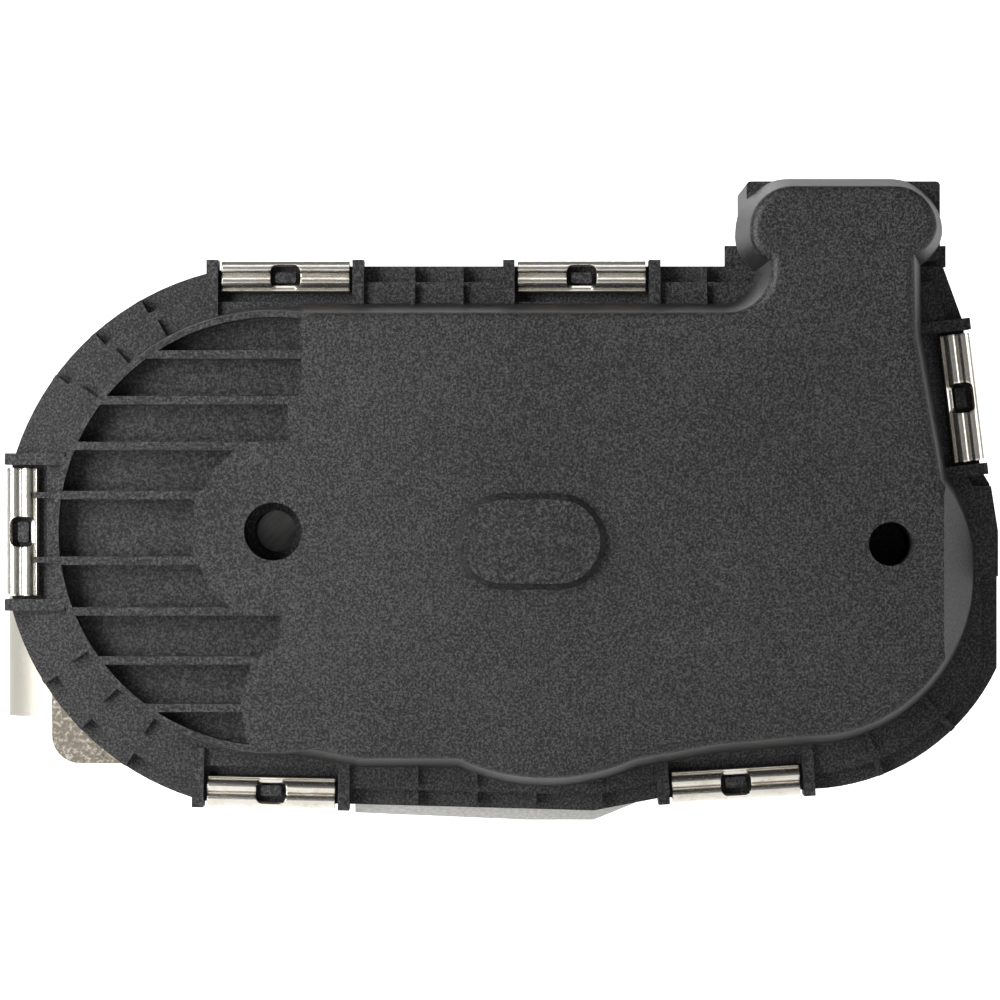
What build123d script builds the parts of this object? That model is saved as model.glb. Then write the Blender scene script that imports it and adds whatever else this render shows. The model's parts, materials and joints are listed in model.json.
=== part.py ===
from build123d import *
import os
from math import acos, atan, atan2, cos, degrees, hypot, pi, radians, sin, sqrt, tan

# Electronic throttle body, millimetres. +Z runs up the throttle bore, the shaft lies along Y and the
# gear cover faces -Y. The origin is the bore centre on the manifold flange's mating face.
# "Depth" is measured along -Y from the bore centre, towards the face of the gear cover.

# ---- Driving dimensions: throttle bore and manifold flange
bore_radius = 26.0
bore_wall = 3.0
tube_top = 46.0
spigot_length = 8.0
spigot_step = 0.4
shaft_height = 23.5
bolt_half_pitch = 28.0
bolt_hole_radius = 3.3
lug_radius = 7.0
lug_height = 16.0
flange_thickness = 8.0
flange_seal_groove_inner = 27.4
flange_seal_width = 3.0
flange_seal_depth = 2.0

# ---- Driving dimensions: depths of the gear case and its cover
case_back = 38.0
case_floor = 41.0
rim_back = 49.4
rim_front = 52.5
cover_flange_front = 55.3
band_front = 57.3
dome_front = 68.0
lobe_step = 0.15
pad_height = 1.3

# ---- Driving dimensions: outline of the cover flange, from the shaft axis
lobe_centre_x = -0.2
lobe_centre_z = -0.8
lobe_crown = 1.0
top_edge = 32.4
right_edge = 88.1
corner_inset = 23.5
corner_centre_z = -5.6
corner_radius = 26.0
left_flat_half = 8.9
bottom_flat_half = 9.0
rim_width = 3.6
case_wall = 2.4
channel_width = 2.0

# ---- Driving dimensions: cover
ring_inset = 6.1
ring_wall = 0.75
dome_over_ring = 0.5
dome_left = -1.5
dome_shoulder_x = 3.4
dome_shoulder_drop = 1.3
flank_inset = 7.4
flank_slope = 0.48
ring_draft = 4.0
dome_lean = 1.5038
dome_edge_radius = 1.2
cover_wall = 2.6
pocket_depth = 3.6
pocket_rib = 1.0
rib_heights = (-21.2, -15.5, -9.6, -3.5, 4.4, 10.3, 15.8, 21.3)
# right end of each pocket, from the bottom row up: x and the share of the row's height it is at
pocket_right_ends = (
    ((-2.4, 0), (-3.3, 0.5), (-3.8, 1)),
    ((-3.8, 0), (-3.6, 0.4), (-2.7, 0.9), (-2.8, 1)),
    ((-1.6, 0), (0.8, 0.3), (0.9, 1)),
    ((-5.3, 0), (-7.4, 0.45), (-8.9, 1)),
    ((-9.6, 0), (-9.4, 1)),
    ((-8.5, 0), (-7.1, 0.5), (-4.7, 1)),
    ((1.8, 0), (1.8, 1)),
    ((3.4, 0), (3.4, 1)),
    ((3.4, 0), (3.4, 1)),
)
sight_hole_radius = 3.5
sight_hole_depth = 7.0
sight_bore_radius = 2.55
sensor_boss_radius = 5.4
dowel_hole_x = 74.3
dowel_hole_z = -1.5
dowel_hole_radius = 2.65
dowel_hole_depth = 15.0
pad_length = 18.2
pad_width = 11.6
pad_draft = 30.0

# ---- Driving dimensions: connector
socket_left = 57.4
socket_width = 23.6
socket_over_case = 0.6
socket_height = 9.7
socket_wall = 1.5
socket_length = 22.0
socket_foot_left = 2.5
socket_foot_right = 1.0
terminal_count = 6
terminal_pitch = 3.4
terminal_width = 1.5
terminal_thickness = 0.64

# ---- Driving dimensions: clips that hold the cover
clip_length = 15.6
clip_sheet = 0.6
clip_reach = 3.5
clip_window_length = 3.5
clip_window_width = 2.5
clip_gap = 0.05
post_spacing = 8.9
post_thickness = 1.4
post_reach = 6.6
post_overhang = 0.7
land_width = 4.4
first_clip_x = 1.1

# ---- Driving dimensions: shaft, plate and bearings
shaft_radius = 4.0
plate_thickness = 2.0
plate_clearance = 0.1
rest_opening = 7.0
shaft_front = 50.0
shaft_back = -37.0
needle_radius = 0.75
needle_count = 16
needle_cup_radius = 6.0
running_clearance = 0.03
ball_bearing_radius = 8.0
ball_bearing_width = 5.0
ball_count = 7
far_boss_radius = 10.5
far_boss_end = -43.0
neck_radius = 14.0

# ---- Driving dimensions: gears
segment_teeth = 48
segment_module = 1.0
small_gear_teeth = 14
large_gear_teeth = 64
drive_module = 0.6
pinion_teeth = 12
axle_drop = 1.2
axle_radius = 2.5
pressure_angle = 20.0
tooth_backlash = 0.16
segment_back = 43.6
segment_front = 51.0
drive_back = 52.6
drive_front = 57.6
sensor_cup_radius = 10.5
sensor_cup_front = 59.0
magnet_inner_radius = 7.0
magnet_thickness = 2.1

# ---- Driving dimensions: motor
motor_radius = 17.0
motor_length = 50.0
motor_sheet = 1.2
motor_magnet_wall = 3.0
armature_gap = 0.5
armature_slots = 5
armature_slot_drop = 3.8
armature_hub = 3.1
armature_tooth = 2.0
armature_slot_round = 1.2
armature_mouth = 3.0
armature_mouth_width = 1.4
winding_gap = 0.2
motor_shaft_radius = 1.5
motor_clearance = 0.2
well_wall = 2.4
motor_screw_pitch = 20.3

# ---- Sizes that follow from the driving dimensions
lobe_radius = top_edge + lobe_crown
corner_centre_x = right_edge - corner_inset
ring_base_radius = lobe_radius - ring_inset
dome_top = ring_base_radius + dome_over_ring
flank_x = right_edge - flank_inset
dome_draft = degrees(atan(dome_lean / (dome_front - band_front)))
socket_bottom = top_edge + socket_over_case
tube_radius = bore_radius + bore_wall
spigot_radius = tube_radius - spigot_step
flange_half = bolt_half_pitch + lug_radius
gear_centres = (segment_teeth + small_gear_teeth) * segment_module / 2
axle_x = sqrt(gear_centres**2 - axle_drop**2)
motor_x = axle_x + (large_gear_teeth + pinion_teeth) * drive_module / 2
mesh_angle = degrees(atan2(-axle_drop, axle_x))
axle_place = (axle_x, -axle_drop)
motor_place = (motor_x, -axle_drop)
ring_front = dome_front - lobe_step
ring_front_radius = ring_base_radius - (ring_front - band_front) * tan(radians(ring_draft))
pocket_radius = ring_front_radius - ring_wall
well_radius = motor_radius + motor_clearance
motor_back = case_floor - motor_length
magnet_outer_radius = magnet_inner_radius + magnet_thickness


def front(depth):
    """Plane that faces -Y at a depth, with its origin on the throttle shaft."""
    return Plane(origin=(0, -depth, shaft_height), x_dir=(1, 0, 0), z_dir=(0, -1, 0))


def finish(piece, name):
    """Label a finished piece and write its file."""
    piece.part.label = name
    export_step(piece.part, f"parts/{name}.step")


def inset(outline, distance):
    """The outline moved inwards by a distance."""
    with BuildSketch() as smaller:
        add(outline)
        offset(amount=-distance)
    return smaller.sketch


def ring(inner, outer, back, front_depth, place=(0, 0)):
    """A plain round sleeve between two radii and two depths."""
    with BuildPart() as sleeve:
        with BuildSketch(front(back)):
            with Locations(place):
                Circle(outer)
                if inner > 0:
                    Circle(inner, mode=Mode.SUBTRACT)
        extrude(amount=front_depth - back)
    return sleeve


def polar(radius, angle, centre=(0, 0)):
    """Point at a radius and an angle in degrees round a centre."""
    return (centre[0] + radius * cos(radians(angle)), centre[1] + radius * sin(radians(angle)))


os.makedirs("parts", exist_ok=True)

# ---- Outline of the cover flange, clockwise from the top of the left lobe
lobe_centre = (lobe_centre_x, lobe_centre_z)
corner_centre = (corner_centre_x, corner_centre_z)
lobe_top = (lobe_centre_x - sqrt(lobe_radius**2 - (top_edge - lobe_centre_z) ** 2), top_edge)
left_flat_x = lobe_centre_x - sqrt(lobe_radius**2 - left_flat_half**2)
left_flat_top = (left_flat_x, lobe_centre_z + left_flat_half)
left_flat_bottom = (left_flat_x, lobe_centre_z - left_flat_half)
bottom_flat_left = polar(lobe_radius, 270 - degrees(bottom_flat_half / lobe_radius), lobe_centre)
bottom_flat_right = (bottom_flat_left[0] + 2 * bottom_flat_half, bottom_flat_left[1] - 0.4)
belly = (bottom_flat_right[0] + 29.9, bottom_flat_right[1] - 0.8)
belly_end = (belly[0] + 7.9, belly[1] + 1.5)
corner_start = polar(corner_radius, -84.5, corner_centre)
corner_end_z = corner_centre_z - sqrt(corner_radius**2 - (right_edge - corner_centre_x) ** 2)
corner_middle = polar(corner_radius, -55.0, corner_centre)
right_waist = (right_edge - 0.9, 5.8)
right_clip_bottom = (right_edge - 2.0, 7.6)
right_clip_top = (right_edge - 4.2, 25.8)
top_right = (right_edge - 6.6, top_edge)

with BuildSketch() as flange_sketch:
    with BuildLine():
        Polyline(lobe_top, top_right, right_clip_top, right_clip_bottom, right_waist)
        Polyline(right_waist, (right_edge, 0), (right_edge, corner_end_z))
        ThreePointArc((right_edge, corner_end_z), corner_middle, corner_start)
        Polyline(corner_start, belly_end, belly, bottom_flat_right, bottom_flat_left)
        ThreePointArc(bottom_flat_left, polar(lobe_radius, 225, lobe_centre), left_flat_bottom)
        Line(left_flat_bottom, left_flat_top)
        ThreePointArc(left_flat_top, polar(lobe_radius, 135, lobe_centre), lobe_top)
    make_face()
flange_outline = flange_sketch.sketch
tray_outline = inset(flange_outline, rim_width)
cavity_outline = inset(flange_outline, rim_width + case_wall)

# ---- Outline of the dome's foot: a long box with a belly, a neck and the connector's bulb
neck_radius_left = 3.9
dome_bottom = -28.8
neck_left = socket_left + 1.1
neck_right = socket_left + socket_width - 2.4
bulb_left = neck_left - 2.5
bulb_right = neck_right + 2.7
bulb_top = socket_bottom + socket_height + 0.3
bulb_corner = 6.5
dome_corner = corner_radius - 5.5
notch_height = dome_top + neck_radius_left + 0.7

with BuildSketch() as dome_sketch:
    with BuildLine():
        Line((dome_shoulder_x, dome_top), (neck_left - neck_radius_left, dome_top))
        ThreePointArc(
            (neck_left - neck_radius_left, dome_top),
            polar(neck_radius_left, -45, (neck_left - neck_radius_left, dome_top + neck_radius_left)),
            (neck_left, dome_top + neck_radius_left),
        )
        ThreePointArc(
            (neck_left, dome_top + neck_radius_left),
            (bulb_left + 0.7, dome_top + neck_radius_left + 1.7),
            (bulb_left, bulb_top - bulb_corner),
        )
        ThreePointArc(
            (bulb_left, bulb_top - bulb_corner),
            polar(bulb_corner, 135, (bulb_left + bulb_corner, bulb_top - bulb_corner)),
            (bulb_left + bulb_corner, bulb_top),
        )
        Line((bulb_left + bulb_corner, bulb_top), (bulb_right - bulb_corner, bulb_top))
        ThreePointArc(
            (bulb_right - bulb_corner, bulb_top),
            polar(bulb_corner, 45, (bulb_right - bulb_corner, bulb_top - bulb_corner)),
            (bulb_right, bulb_top - bulb_corner),
        )
        ThreePointArc(
            (bulb_right, bulb_top - bulb_corner),
            (bulb_right - 0.8, notch_height + 1.8),
            (neck_right, notch_height),
        )
        Polyline((neck_right, notch_height), (neck_right + 0.2, dome_top - 4.0), (right_edge - 6.3, 6.8))
        ThreePointArc(
            (right_edge - 6.3, 6.8),
            (right_edge - 3.8, 1.6),
            (corner_centre_x + dome_corner, corner_centre_z),
        )
        ThreePointArc(
            (corner_centre_x + dome_corner, corner_centre_z),
            polar(dome_corner, -45, corner_centre),
            (corner_centre_x, corner_centre_z - dome_corner),
        )
        Polyline(
            (corner_centre_x, corner_centre_z - dome_corner),
            (axle_x + 22.5, dome_bottom + 1.7),
            (axle_x + 13.0, dome_bottom),
        )
        ThreePointArc(
            (axle_x + 13.0, dome_bottom),
            (axle_x + 2.0, dome_bottom - 2.3),
            (axle_x - 9.0, dome_bottom),
        )
        Polyline(
            (axle_x - 9.0, dome_bottom),
            (10.0, dome_bottom),
            (dome_left, dome_shoulder_drop - dome_top),
            (dome_left, dome_top - dome_shoulder_drop),
            (dome_shoulder_x, dome_top),
        )
    make_face()
dome_outline = dome_sketch.sketch


def edge_seat(start, end, along):
    """Point on a straight edge, with the edge's direction; the cover lies to its left."""
    length = hypot(end[0] - start[0], end[1] - start[1])
    share = along / length
    place = (start[0] + share * (end[0] - start[0]), start[1] + share * (end[1] - start[1]))
    return place, degrees(atan2(end[1] - start[1], end[0] - start[0]))


clip_seats = [
    edge_seat(top_right, lobe_top, top_right[0] - first_clip_x),
    edge_seat(top_right, lobe_top, top_right[0] - axle_x - 6.3),
    edge_seat(right_clip_bottom, right_clip_top, post_spacing),
    edge_seat(belly_end, corner_start, post_spacing + 0.6),
    edge_seat(bottom_flat_left, bottom_flat_right, bottom_flat_half - 0.6),
    edge_seat(left_flat_top, left_flat_bottom, left_flat_half - 0.7),
]


def clip_locations():
    """Sketch locations at the clips: x runs along the edge and y inwards."""
    return Locations(*[Location((p[0], p[1], 0), (0, 0, angle)) for p, angle in clip_seats])


# ---- Gear cover: flange, band, lobe with ribbed pockets, dome, bulb and connector socket
lobe_rib_angles = [120.0 + 12.0 * k for k in range(3)] + [211.8 + 12.2 * k for k in range(3)]
corner_rib_angles = (-46.0, -69.0)
top_rib_places = (16.6, 22.5, 52.2)
bottom_rib_places = (17.0, 24.2, 31.4, 39.4)
edge_rib = 0.7
edge_rib_length = channel_width + 0.6
edge_rib_inset = edge_rib_length / 2 + 0.1
foot_rib_length = 3.0
foot_rib_offset = 0.8
foot_rib_rise = 1.0
bottom_middle = (belly[1] + bottom_flat_right[1]) / 2

edge_rib_places = [
    (polar(lobe_radius - edge_rib_inset, a, lobe_centre), a) for a in lobe_rib_angles
]
edge_rib_places += [
    (polar(corner_radius - edge_rib_inset, a, corner_centre), a) for a in corner_rib_angles
]
edge_rib_places += [((x, top_edge - edge_rib_inset), 90) for x in top_rib_places]
edge_rib_places += [((x, bottom_middle + edge_rib_inset + 0.3), 90) for x in bottom_rib_places]
foot_rib_places = [(polar(ring_base_radius + foot_rib_offset, a), a) for a in lobe_rib_angles]
foot_rib_places += [
    (polar(dome_corner + foot_rib_offset, a, corner_centre), a) for a in corner_rib_angles
]
foot_rib_places += [((x, dome_top + foot_rib_offset), 90) for x in top_rib_places]
foot_rib_places += [((x, dome_bottom - foot_rib_offset), 90) for x in bottom_rib_places]
stub_rib_places = [((-ring_base_radius - foot_rib_offset, rib_heights[k]), 0) for k in (3, 4)]


def rib_sketch(places, length):
    """Small straight ribs, each centred on its place and turned to its angle."""
    with BuildSketch() as ribs:
        with Locations(*[Location((p[0], p[1], 0), (0, 0, a)) for p, a in places]):
            Rectangle(length, edge_rib)
    return ribs.sketch


def pocket_rows():
    """Corner points of the pockets between the ribs, from the bottom row to the top one."""
    edges = (-ring_base_radius,) + rib_heights + (ring_base_radius,)
    rows = []
    for row, right_end in enumerate(pocket_right_ends):
        low = edges[row] + pocket_rib / 2
        high = edges[row + 1] - pocket_rib / 2
        corners = [(x, low + share * (high - low)) for x, share in right_end]
        rows.append([(-ring_base_radius, low)] + corners + [(-ring_base_radius, high)])
    return rows


with BuildSketch() as pocket_sketch:
    for corners in pocket_rows():
        with BuildLine():
            Polyline(*corners, close=True)
        make_face()
    Circle(pocket_radius, mode=Mode.INTERSECT)

with BuildSketch() as band_sketch:
    add(inset(flange_outline, channel_width))
    with Locations((right_edge - 5, 0)):
        Rectangle(10, 11)
    add(flange_outline, mode=Mode.INTERSECT)

terminal_row_x = socket_left + socket_width / 2
terminal_row_z = socket_bottom + socket_wall + 1.6
terminal_back = rim_back + 2.0 - socket_length + 4.0
terminal_front = band_front + 3.0
socket_front = rim_back + 2.6
socket_back = socket_front - socket_length
under_dome = dome_front - cover_wall
under_lobe = ring_front - pocket_depth - 2.0
cover_inner_outline = inset(dome_outline, cover_wall + 0.4)
column_front = dome_front - dowel_hole_depth
terminal_places = [
    (terminal_row_x + (k - (terminal_count - 1) / 2) * terminal_pitch, terminal_row_z)
    for k in range(terminal_count)
]

with BuildPart() as cover:
    with BuildSketch(front(band_front)):
        add(dome_outline)
    extrude(amount=dome_front - band_front, taper=dome_draft)
    dome_rim = cover.faces().sort_by(Axis.Y)[0].edges().filter_by(lambda e: e.center().X > 4)
    fillet(dome_rim, dome_edge_radius)
    with BuildSketch(Plane.XY.offset(shaft_height + corner_centre_z - dome_corner)):
        with BuildLine():
            Polyline(
                (flank_x, -dome_front),
                (flank_x + flank_slope * (dome_front - band_front), -band_front),
                (flank_x + dome_corner, -band_front),
                (flank_x + dome_corner, -dome_front),
                close=True,
            )
        make_face()
    extrude(amount=2 * dome_corner, mode=Mode.SUBTRACT)
    with BuildSketch(front(band_front)):
        Circle(ring_base_radius)
    extrude(amount=ring_front - band_front, taper=ring_draft)
    with BuildSketch(front(rim_front)):
        add(flange_outline)
    extrude(amount=cover_flange_front - rim_front)
    with BuildSketch(front(rim_front)):
        add(band_sketch.sketch)
    extrude(amount=band_front - rim_front)
    with BuildSketch(front(cover_flange_front)):
        with clip_locations():
            with Locations((0, land_width / 2 - 1)):
                Rectangle(2 * post_spacing, land_width + 2)
    extrude(amount=band_front - cover_flange_front, mode=Mode.SUBTRACT)
    with BuildSketch(front(rim_front)):
        with clip_locations():
            with Locations(*[(s * post_spacing, (post_reach - post_overhang) / 2) for s in (-1, 1)]):
                Rectangle(post_thickness, post_reach + post_overhang)
    extrude(amount=band_front + 0.8 - rim_front)
    with BuildSketch(front(cover_flange_front)):
        with clip_locations():
            with Locations((0, 1.45)):
                RectangleRounded(2.5, 1.3, 0.3)
    extrude(amount=1.3)
    with BuildSketch(front(cover_flange_front)):
        add(rib_sketch(edge_rib_places, edge_rib_length))
    extrude(amount=band_front - cover_flange_front)
    with BuildSketch(front(band_front)):
        add(rib_sketch(foot_rib_places + stub_rib_places, foot_rib_length))
    extrude(amount=foot_rib_rise)
    # connector socket behind the bulb, open towards +Y
    with BuildSketch(front(socket_back)):
        with Locations((terminal_row_x, socket_bottom + socket_height / 2)):
            RectangleRounded(socket_width, socket_height, 0.5)
    extrude(amount=band_front - socket_back)
    with BuildSketch(front(rim_front - 0.8)):
        with Locations((terminal_row_x + (socket_foot_right - socket_foot_left) / 2, socket_bottom + 0.7)):
            Rectangle(socket_width + socket_foot_left + socket_foot_right, 2.6)
    extrude(amount=1.6)
    # inner space, below the lobe and higher below the dome
    with BuildSketch(front(rim_front)):
        add(inset(flange_outline, rim_width + case_wall + 1.0))
    extrude(amount=band_front - rim_front - 2.0, mode=Mode.SUBTRACT)
    with BuildSketch(front(rim_front)):
        Circle(ring_base_radius - cover_wall - 0.6)
    extrude(amount=under_lobe - rim_front, mode=Mode.SUBTRACT)
    with BuildSketch(front(rim_front)) as dome_space:
        add(cover_inner_outline)
        with Locations((50, dome_top - 3.0 + 30)):
            Rectangle(100, 60, mode=Mode.SUBTRACT)
        with Locations((-10, 0)):
            Rectangle(36, 80, mode=Mode.SUBTRACT)
    extrude(amount=under_dome - rim_front, taper=dome_draft / 2, mode=Mode.SUBTRACT)
    # bosses inside: sensor boss, axle seat, dowel column
    with BuildSketch(front(segment_front + 0.4)):
        Circle(sensor_boss_radius)
    extrude(amount=under_lobe - segment_front)
    with BuildSketch(front(drive_front + 2.6)):
        with Locations(axle_place):
            Circle(axle_radius + 2.5)
    extrude(amount=under_dome - drive_front - 2.0)
    with BuildSketch(front(column_front - 1.6)):
        with Locations((dowel_hole_x, dowel_hole_z)):
            Circle(dowel_hole_radius + 1.8)
    extrude(amount=dowel_hole_depth - 1.0)
    # openings from the face
    with BuildSketch(front(dome_front)):
        add(pocket_sketch.sketch)
    extrude(amount=-pocket_depth - lobe_step, mode=Mode.SUBTRACT)
    with BuildSketch(front(dome_front)):
        Circle(sight_hole_radius)
    extrude(amount=-sight_hole_depth, mode=Mode.SUBTRACT)
    with BuildSketch(front(dome_front)):
        Circle(sight_bore_radius)
    extrude(amount=-(dome_front - segment_front), mode=Mode.SUBTRACT)
    with BuildSketch(front(dome_front)):
        with Locations((dowel_hole_x, dowel_hole_z)):
            Circle(dowel_hole_radius)
    extrude(amount=-dowel_hole_depth, mode=Mode.SUBTRACT)
    with BuildSketch(front(dome_front)):
        with Locations(axle_place):
            SlotOverall(pad_length, pad_width)
    extrude(amount=pad_height, taper=pad_draft)
    with BuildSketch(front(socket_back)):
        with Locations((terminal_row_x, socket_bottom + socket_height / 2)):
            RectangleRounded(socket_width - 2 * socket_wall, socket_height - 2 * socket_wall, 0.6)
    extrude(amount=socket_length - 3.0, mode=Mode.SUBTRACT)
    with BuildSketch(front(terminal_back)):
        with Locations(*terminal_places):
            Rectangle(terminal_width, terminal_thickness)
    extrude(amount=terminal_front - terminal_back, mode=Mode.SUBTRACT)
    with BuildSketch(front(drive_front + 2.0)):
        with Locations(axle_place):
            Circle(axle_radius + running_clearance)
    extrude(amount=under_dome - drive_front - 2.2, mode=Mode.SUBTRACT)
finish(cover, "gear_cover")

# ---- Throttle housing: bore tube, manifold flange, gear case, motor well and bearing bosses
drive_seat_front = 40.0
lip_seal_length = 2.5
needle_cup_back = 31.0
lip_seal_back = 28.3
far_seal_back = -31.0
far_bearing_back = far_seal_back - ball_bearing_width
cap_thickness = 1.2
cap_back = -41.5
spring_pocket_inner = 7.2
spring_pocket_outer = 12.6
spring_pocket_floor = 31.5
spring_wire_radius = 0.6
spring_radius = (spring_pocket_inner + spring_pocket_outer) / 2
well_end = motor_back - 6.5
rear_bush_radius = 4.0
rear_bush_length = 4.0
stop_height = -18.4
stop_depth = 46.4
stop_tip_x = -11.8
stop_screw_radius = 2.0
stop_boss_left = -28.0
stop_boss_bottom = -28.7
open_stop = polar(20.0, 111.5)
motor_screw_radius = 2.0
seal_groove_inset = 1.3
seal_groove_width = 2.0
seal_groove_depth = 1.6
seal_gap = 0.1
seal_outer_inset = rim_width - seal_groove_inset
web_half = 15.0
screw_boss_radius = 4.6
motor_ears = [(motor_x, -axle_drop + s * motor_screw_pitch) for s in (-1, 1)]
bolt_places = [(sx * bolt_half_pitch, sy * bolt_half_pitch) for sx in (-1, 1) for sy in (-1, 1)]

with BuildPart() as housing:
    with BuildSketch(Plane.XY):
        Circle(tube_radius)
    extrude(amount=tube_top - spigot_length)
    with BuildSketch(Plane.XY):
        Circle(spigot_radius)
    extrude(amount=tube_top)
    with BuildSketch(Plane.XY):
        RectangleRounded(2 * flange_half, 2 * flange_half, lug_radius)
    extrude(amount=flange_thickness)
    with BuildSketch(Plane.XY):
        with Locations(*bolt_places):
            Circle(lug_radius)
    extrude(amount=lug_height)
    # gear case tray with its rim
    with BuildSketch(front(case_back)):
        add(tray_outline)
    extrude(amount=rim_front - case_back)
    with BuildSketch(front(rim_back)):
        add(flange_outline)
        with BuildLine():
            Polyline(
                (bottom_flat_right[0] + 0.6, bottom_flat_right[1] + 2),
                (bottom_flat_right[0] + 0.6, bottom_flat_right[1] - 1.2),
                (belly[0] - 8, belly[1] - 1.3),
                (belly[0], belly[1] - 1.3),
                (belly_end[0] - 2.5, belly_end[1] - 0.6),
                (belly_end[0] - 2.5, belly_end[1] + 2),
                close=True,
            )
        make_face()
    extrude(amount=rim_front - rim_back)
    # block behind the case's lower left, for the stop screw
    with BuildSketch(front(case_back - 5)):
        with Locations((stop_boss_left + 9, stop_boss_bottom + 7.5)):
            RectangleRounded(18, 15, 3.5)
    extrude(amount=rim_back - case_back + 5)
    # neck, motor well, webs and far bearing boss
    with BuildSketch(front(bore_radius)):
        Circle(neck_radius)
    extrude(amount=case_back - bore_radius + 1)
    with BuildSketch(front(well_end)):
        with Locations(motor_place):
            Circle(well_radius + well_wall)
    extrude(amount=case_back - well_end + 1)
    with BuildSketch(front(-web_half)):
        with Locations(((motor_x - 5) / 2, -axle_drop)):
            Rectangle(motor_x - 5, 22)
    extrude(amount=2 * web_half)
    with BuildSketch(front(-bore_radius - 1)):
        Circle(far_boss_radius)
    extrude(amount=far_boss_end + bore_radius + 1)
    with BuildSketch(front(-bore_radius)):
        with Locations((0, -shaft_height / 2)):
            Rectangle(5, shaft_height - 1)
    extrude(amount=far_boss_end + bore_radius + 9)
    with BuildSketch(front(case_back - 5.5)):
        with Locations(axle_place):
            Circle(axle_radius + 3.2)
    extrude(amount=7)
    with BuildSketch(front(case_back - 8)):
        with Locations(*motor_ears):
            Circle(screw_boss_radius)
    extrude(amount=9)
    # gear case cavity with its bosses left standing
    with BuildSketch(front(case_floor)):
        add(cavity_outline)
        with Locations((stop_boss_left + 6.5, stop_boss_bottom + 6)):
            RectangleRounded(13, 17, 2.5, mode=Mode.SUBTRACT)
        with Locations(open_stop):
            Circle(1.8, mode=Mode.SUBTRACT)
    extrude(amount=rim_front - case_floor, mode=Mode.SUBTRACT)
    with BuildSketch(front(case_floor)):
        with Locations(axle_place):
            Circle(axle_radius + 2.0)
    extrude(amount=1.4)
    # bore, shaft line and bearing seats
    with BuildSketch(Plane.XY):
        Circle(bore_radius)
    extrude(amount=tube_top, mode=Mode.SUBTRACT)
    with BuildSketch(front(bore_radius - 3)):
        Circle(shaft_radius + 0.2)
    extrude(amount=case_floor - bore_radius + 5, mode=Mode.SUBTRACT)
    with BuildSketch(front(lip_seal_back - 0.1)):
        Circle(needle_cup_radius)
    extrude(amount=case_floor - lip_seal_back + 1, mode=Mode.SUBTRACT)
    with BuildSketch(front(spring_pocket_floor)):
        Circle(spring_pocket_outer)
        Circle(spring_pocket_inner, mode=Mode.SUBTRACT)
    extrude(amount=case_floor - spring_pocket_floor + 1, mode=Mode.SUBTRACT)
    with BuildSketch(front(-bore_radius + 3)):
        Circle(shaft_radius + 0.2)
    extrude(amount=far_boss_end, mode=Mode.SUBTRACT)
    with BuildSketch(front(far_seal_back + lip_seal_length + 0.1)):
        Circle(needle_cup_radius)
    extrude(amount=-lip_seal_length - 1, mode=Mode.SUBTRACT)
    with BuildSketch(front(far_seal_back)):
        Circle(ball_bearing_radius)
    extrude(amount=far_boss_end - far_seal_back - 1, mode=Mode.SUBTRACT)
    # motor well
    with BuildSketch(front(motor_back - 0.6)):
        with Locations(motor_place):
            Circle(well_radius)
    extrude(amount=case_floor - motor_back + 2, mode=Mode.SUBTRACT)
    with BuildSketch(front(motor_back - rear_bush_length - 0.6)):
        with Locations(motor_place):
            Circle(rear_bush_radius + 0.5)
    extrude(amount=rear_bush_length + 1, mode=Mode.SUBTRACT)
    # axle seat, screw holes, stop screw hole
    with BuildSketch(front(case_back - 4)):
        with Locations(axle_place):
            Circle(axle_radius)
    extrude(amount=10, mode=Mode.SUBTRACT)
    with BuildSketch(front(case_back - 6)):
        with Locations(*motor_ears):
            Circle(motor_screw_radius)
    extrude(amount=10, mode=Mode.SUBTRACT)
    with BuildSketch(Plane.YZ.offset(stop_boss_left - 1)):
        with Locations((-stop_depth, shaft_height + stop_height)):
            Circle(stop_screw_radius)
    extrude(amount=22, mode=Mode.SUBTRACT)
    # manifold bolts and seal groove, cover seal groove
    with BuildSketch(Plane.XY):
        with Locations(*bolt_places):
            Circle(bolt_hole_radius)
    extrude(amount=lug_height, mode=Mode.SUBTRACT)
    with BuildSketch(Plane.XY):
        Circle(flange_seal_groove_inner + flange_seal_width)
        Circle(flange_seal_groove_inner, mode=Mode.SUBTRACT)
    extrude(amount=flange_seal_depth, mode=Mode.SUBTRACT)
    with BuildSketch(front(rim_front)):
        add(inset(flange_outline, seal_outer_inset))
        add(inset(flange_outline, seal_outer_inset + seal_groove_width), mode=Mode.SUBTRACT)
    extrude(amount=-seal_groove_depth, mode=Mode.SUBTRACT)
finish(housing, "throttle_housing")

# ---- Seals
with BuildPart() as cover_seal:
    with BuildSketch(front(rim_front)):
        add(inset(flange_outline, seal_outer_inset + seal_gap))
        add(inset(flange_outline, seal_outer_inset + seal_groove_width - seal_gap), mode=Mode.SUBTRACT)
    extrude(amount=-seal_groove_depth)
finish(cover_seal, "cover_seal")

with BuildPart() as flange_seal:
    with BuildSketch(Plane.XY.offset(0.05)):
        Circle(flange_seal_groove_inner + flange_seal_width - seal_gap)
        Circle(flange_seal_groove_inner + seal_gap, mode=Mode.SUBTRACT)
    extrude(amount=flange_seal_depth - 0.05)
finish(flange_seal, "flange_seal")

seal_inner = shaft_radius + running_clearance
drive_lip_seal = ring(seal_inner, needle_cup_radius, lip_seal_back, lip_seal_back + lip_seal_length)
finish(drive_lip_seal, "drive_side_shaft_seal")
far_lip_seal = ring(seal_inner, needle_cup_radius, far_seal_back, far_seal_back + lip_seal_length)
finish(far_lip_seal, "far_side_shaft_seal")

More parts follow.
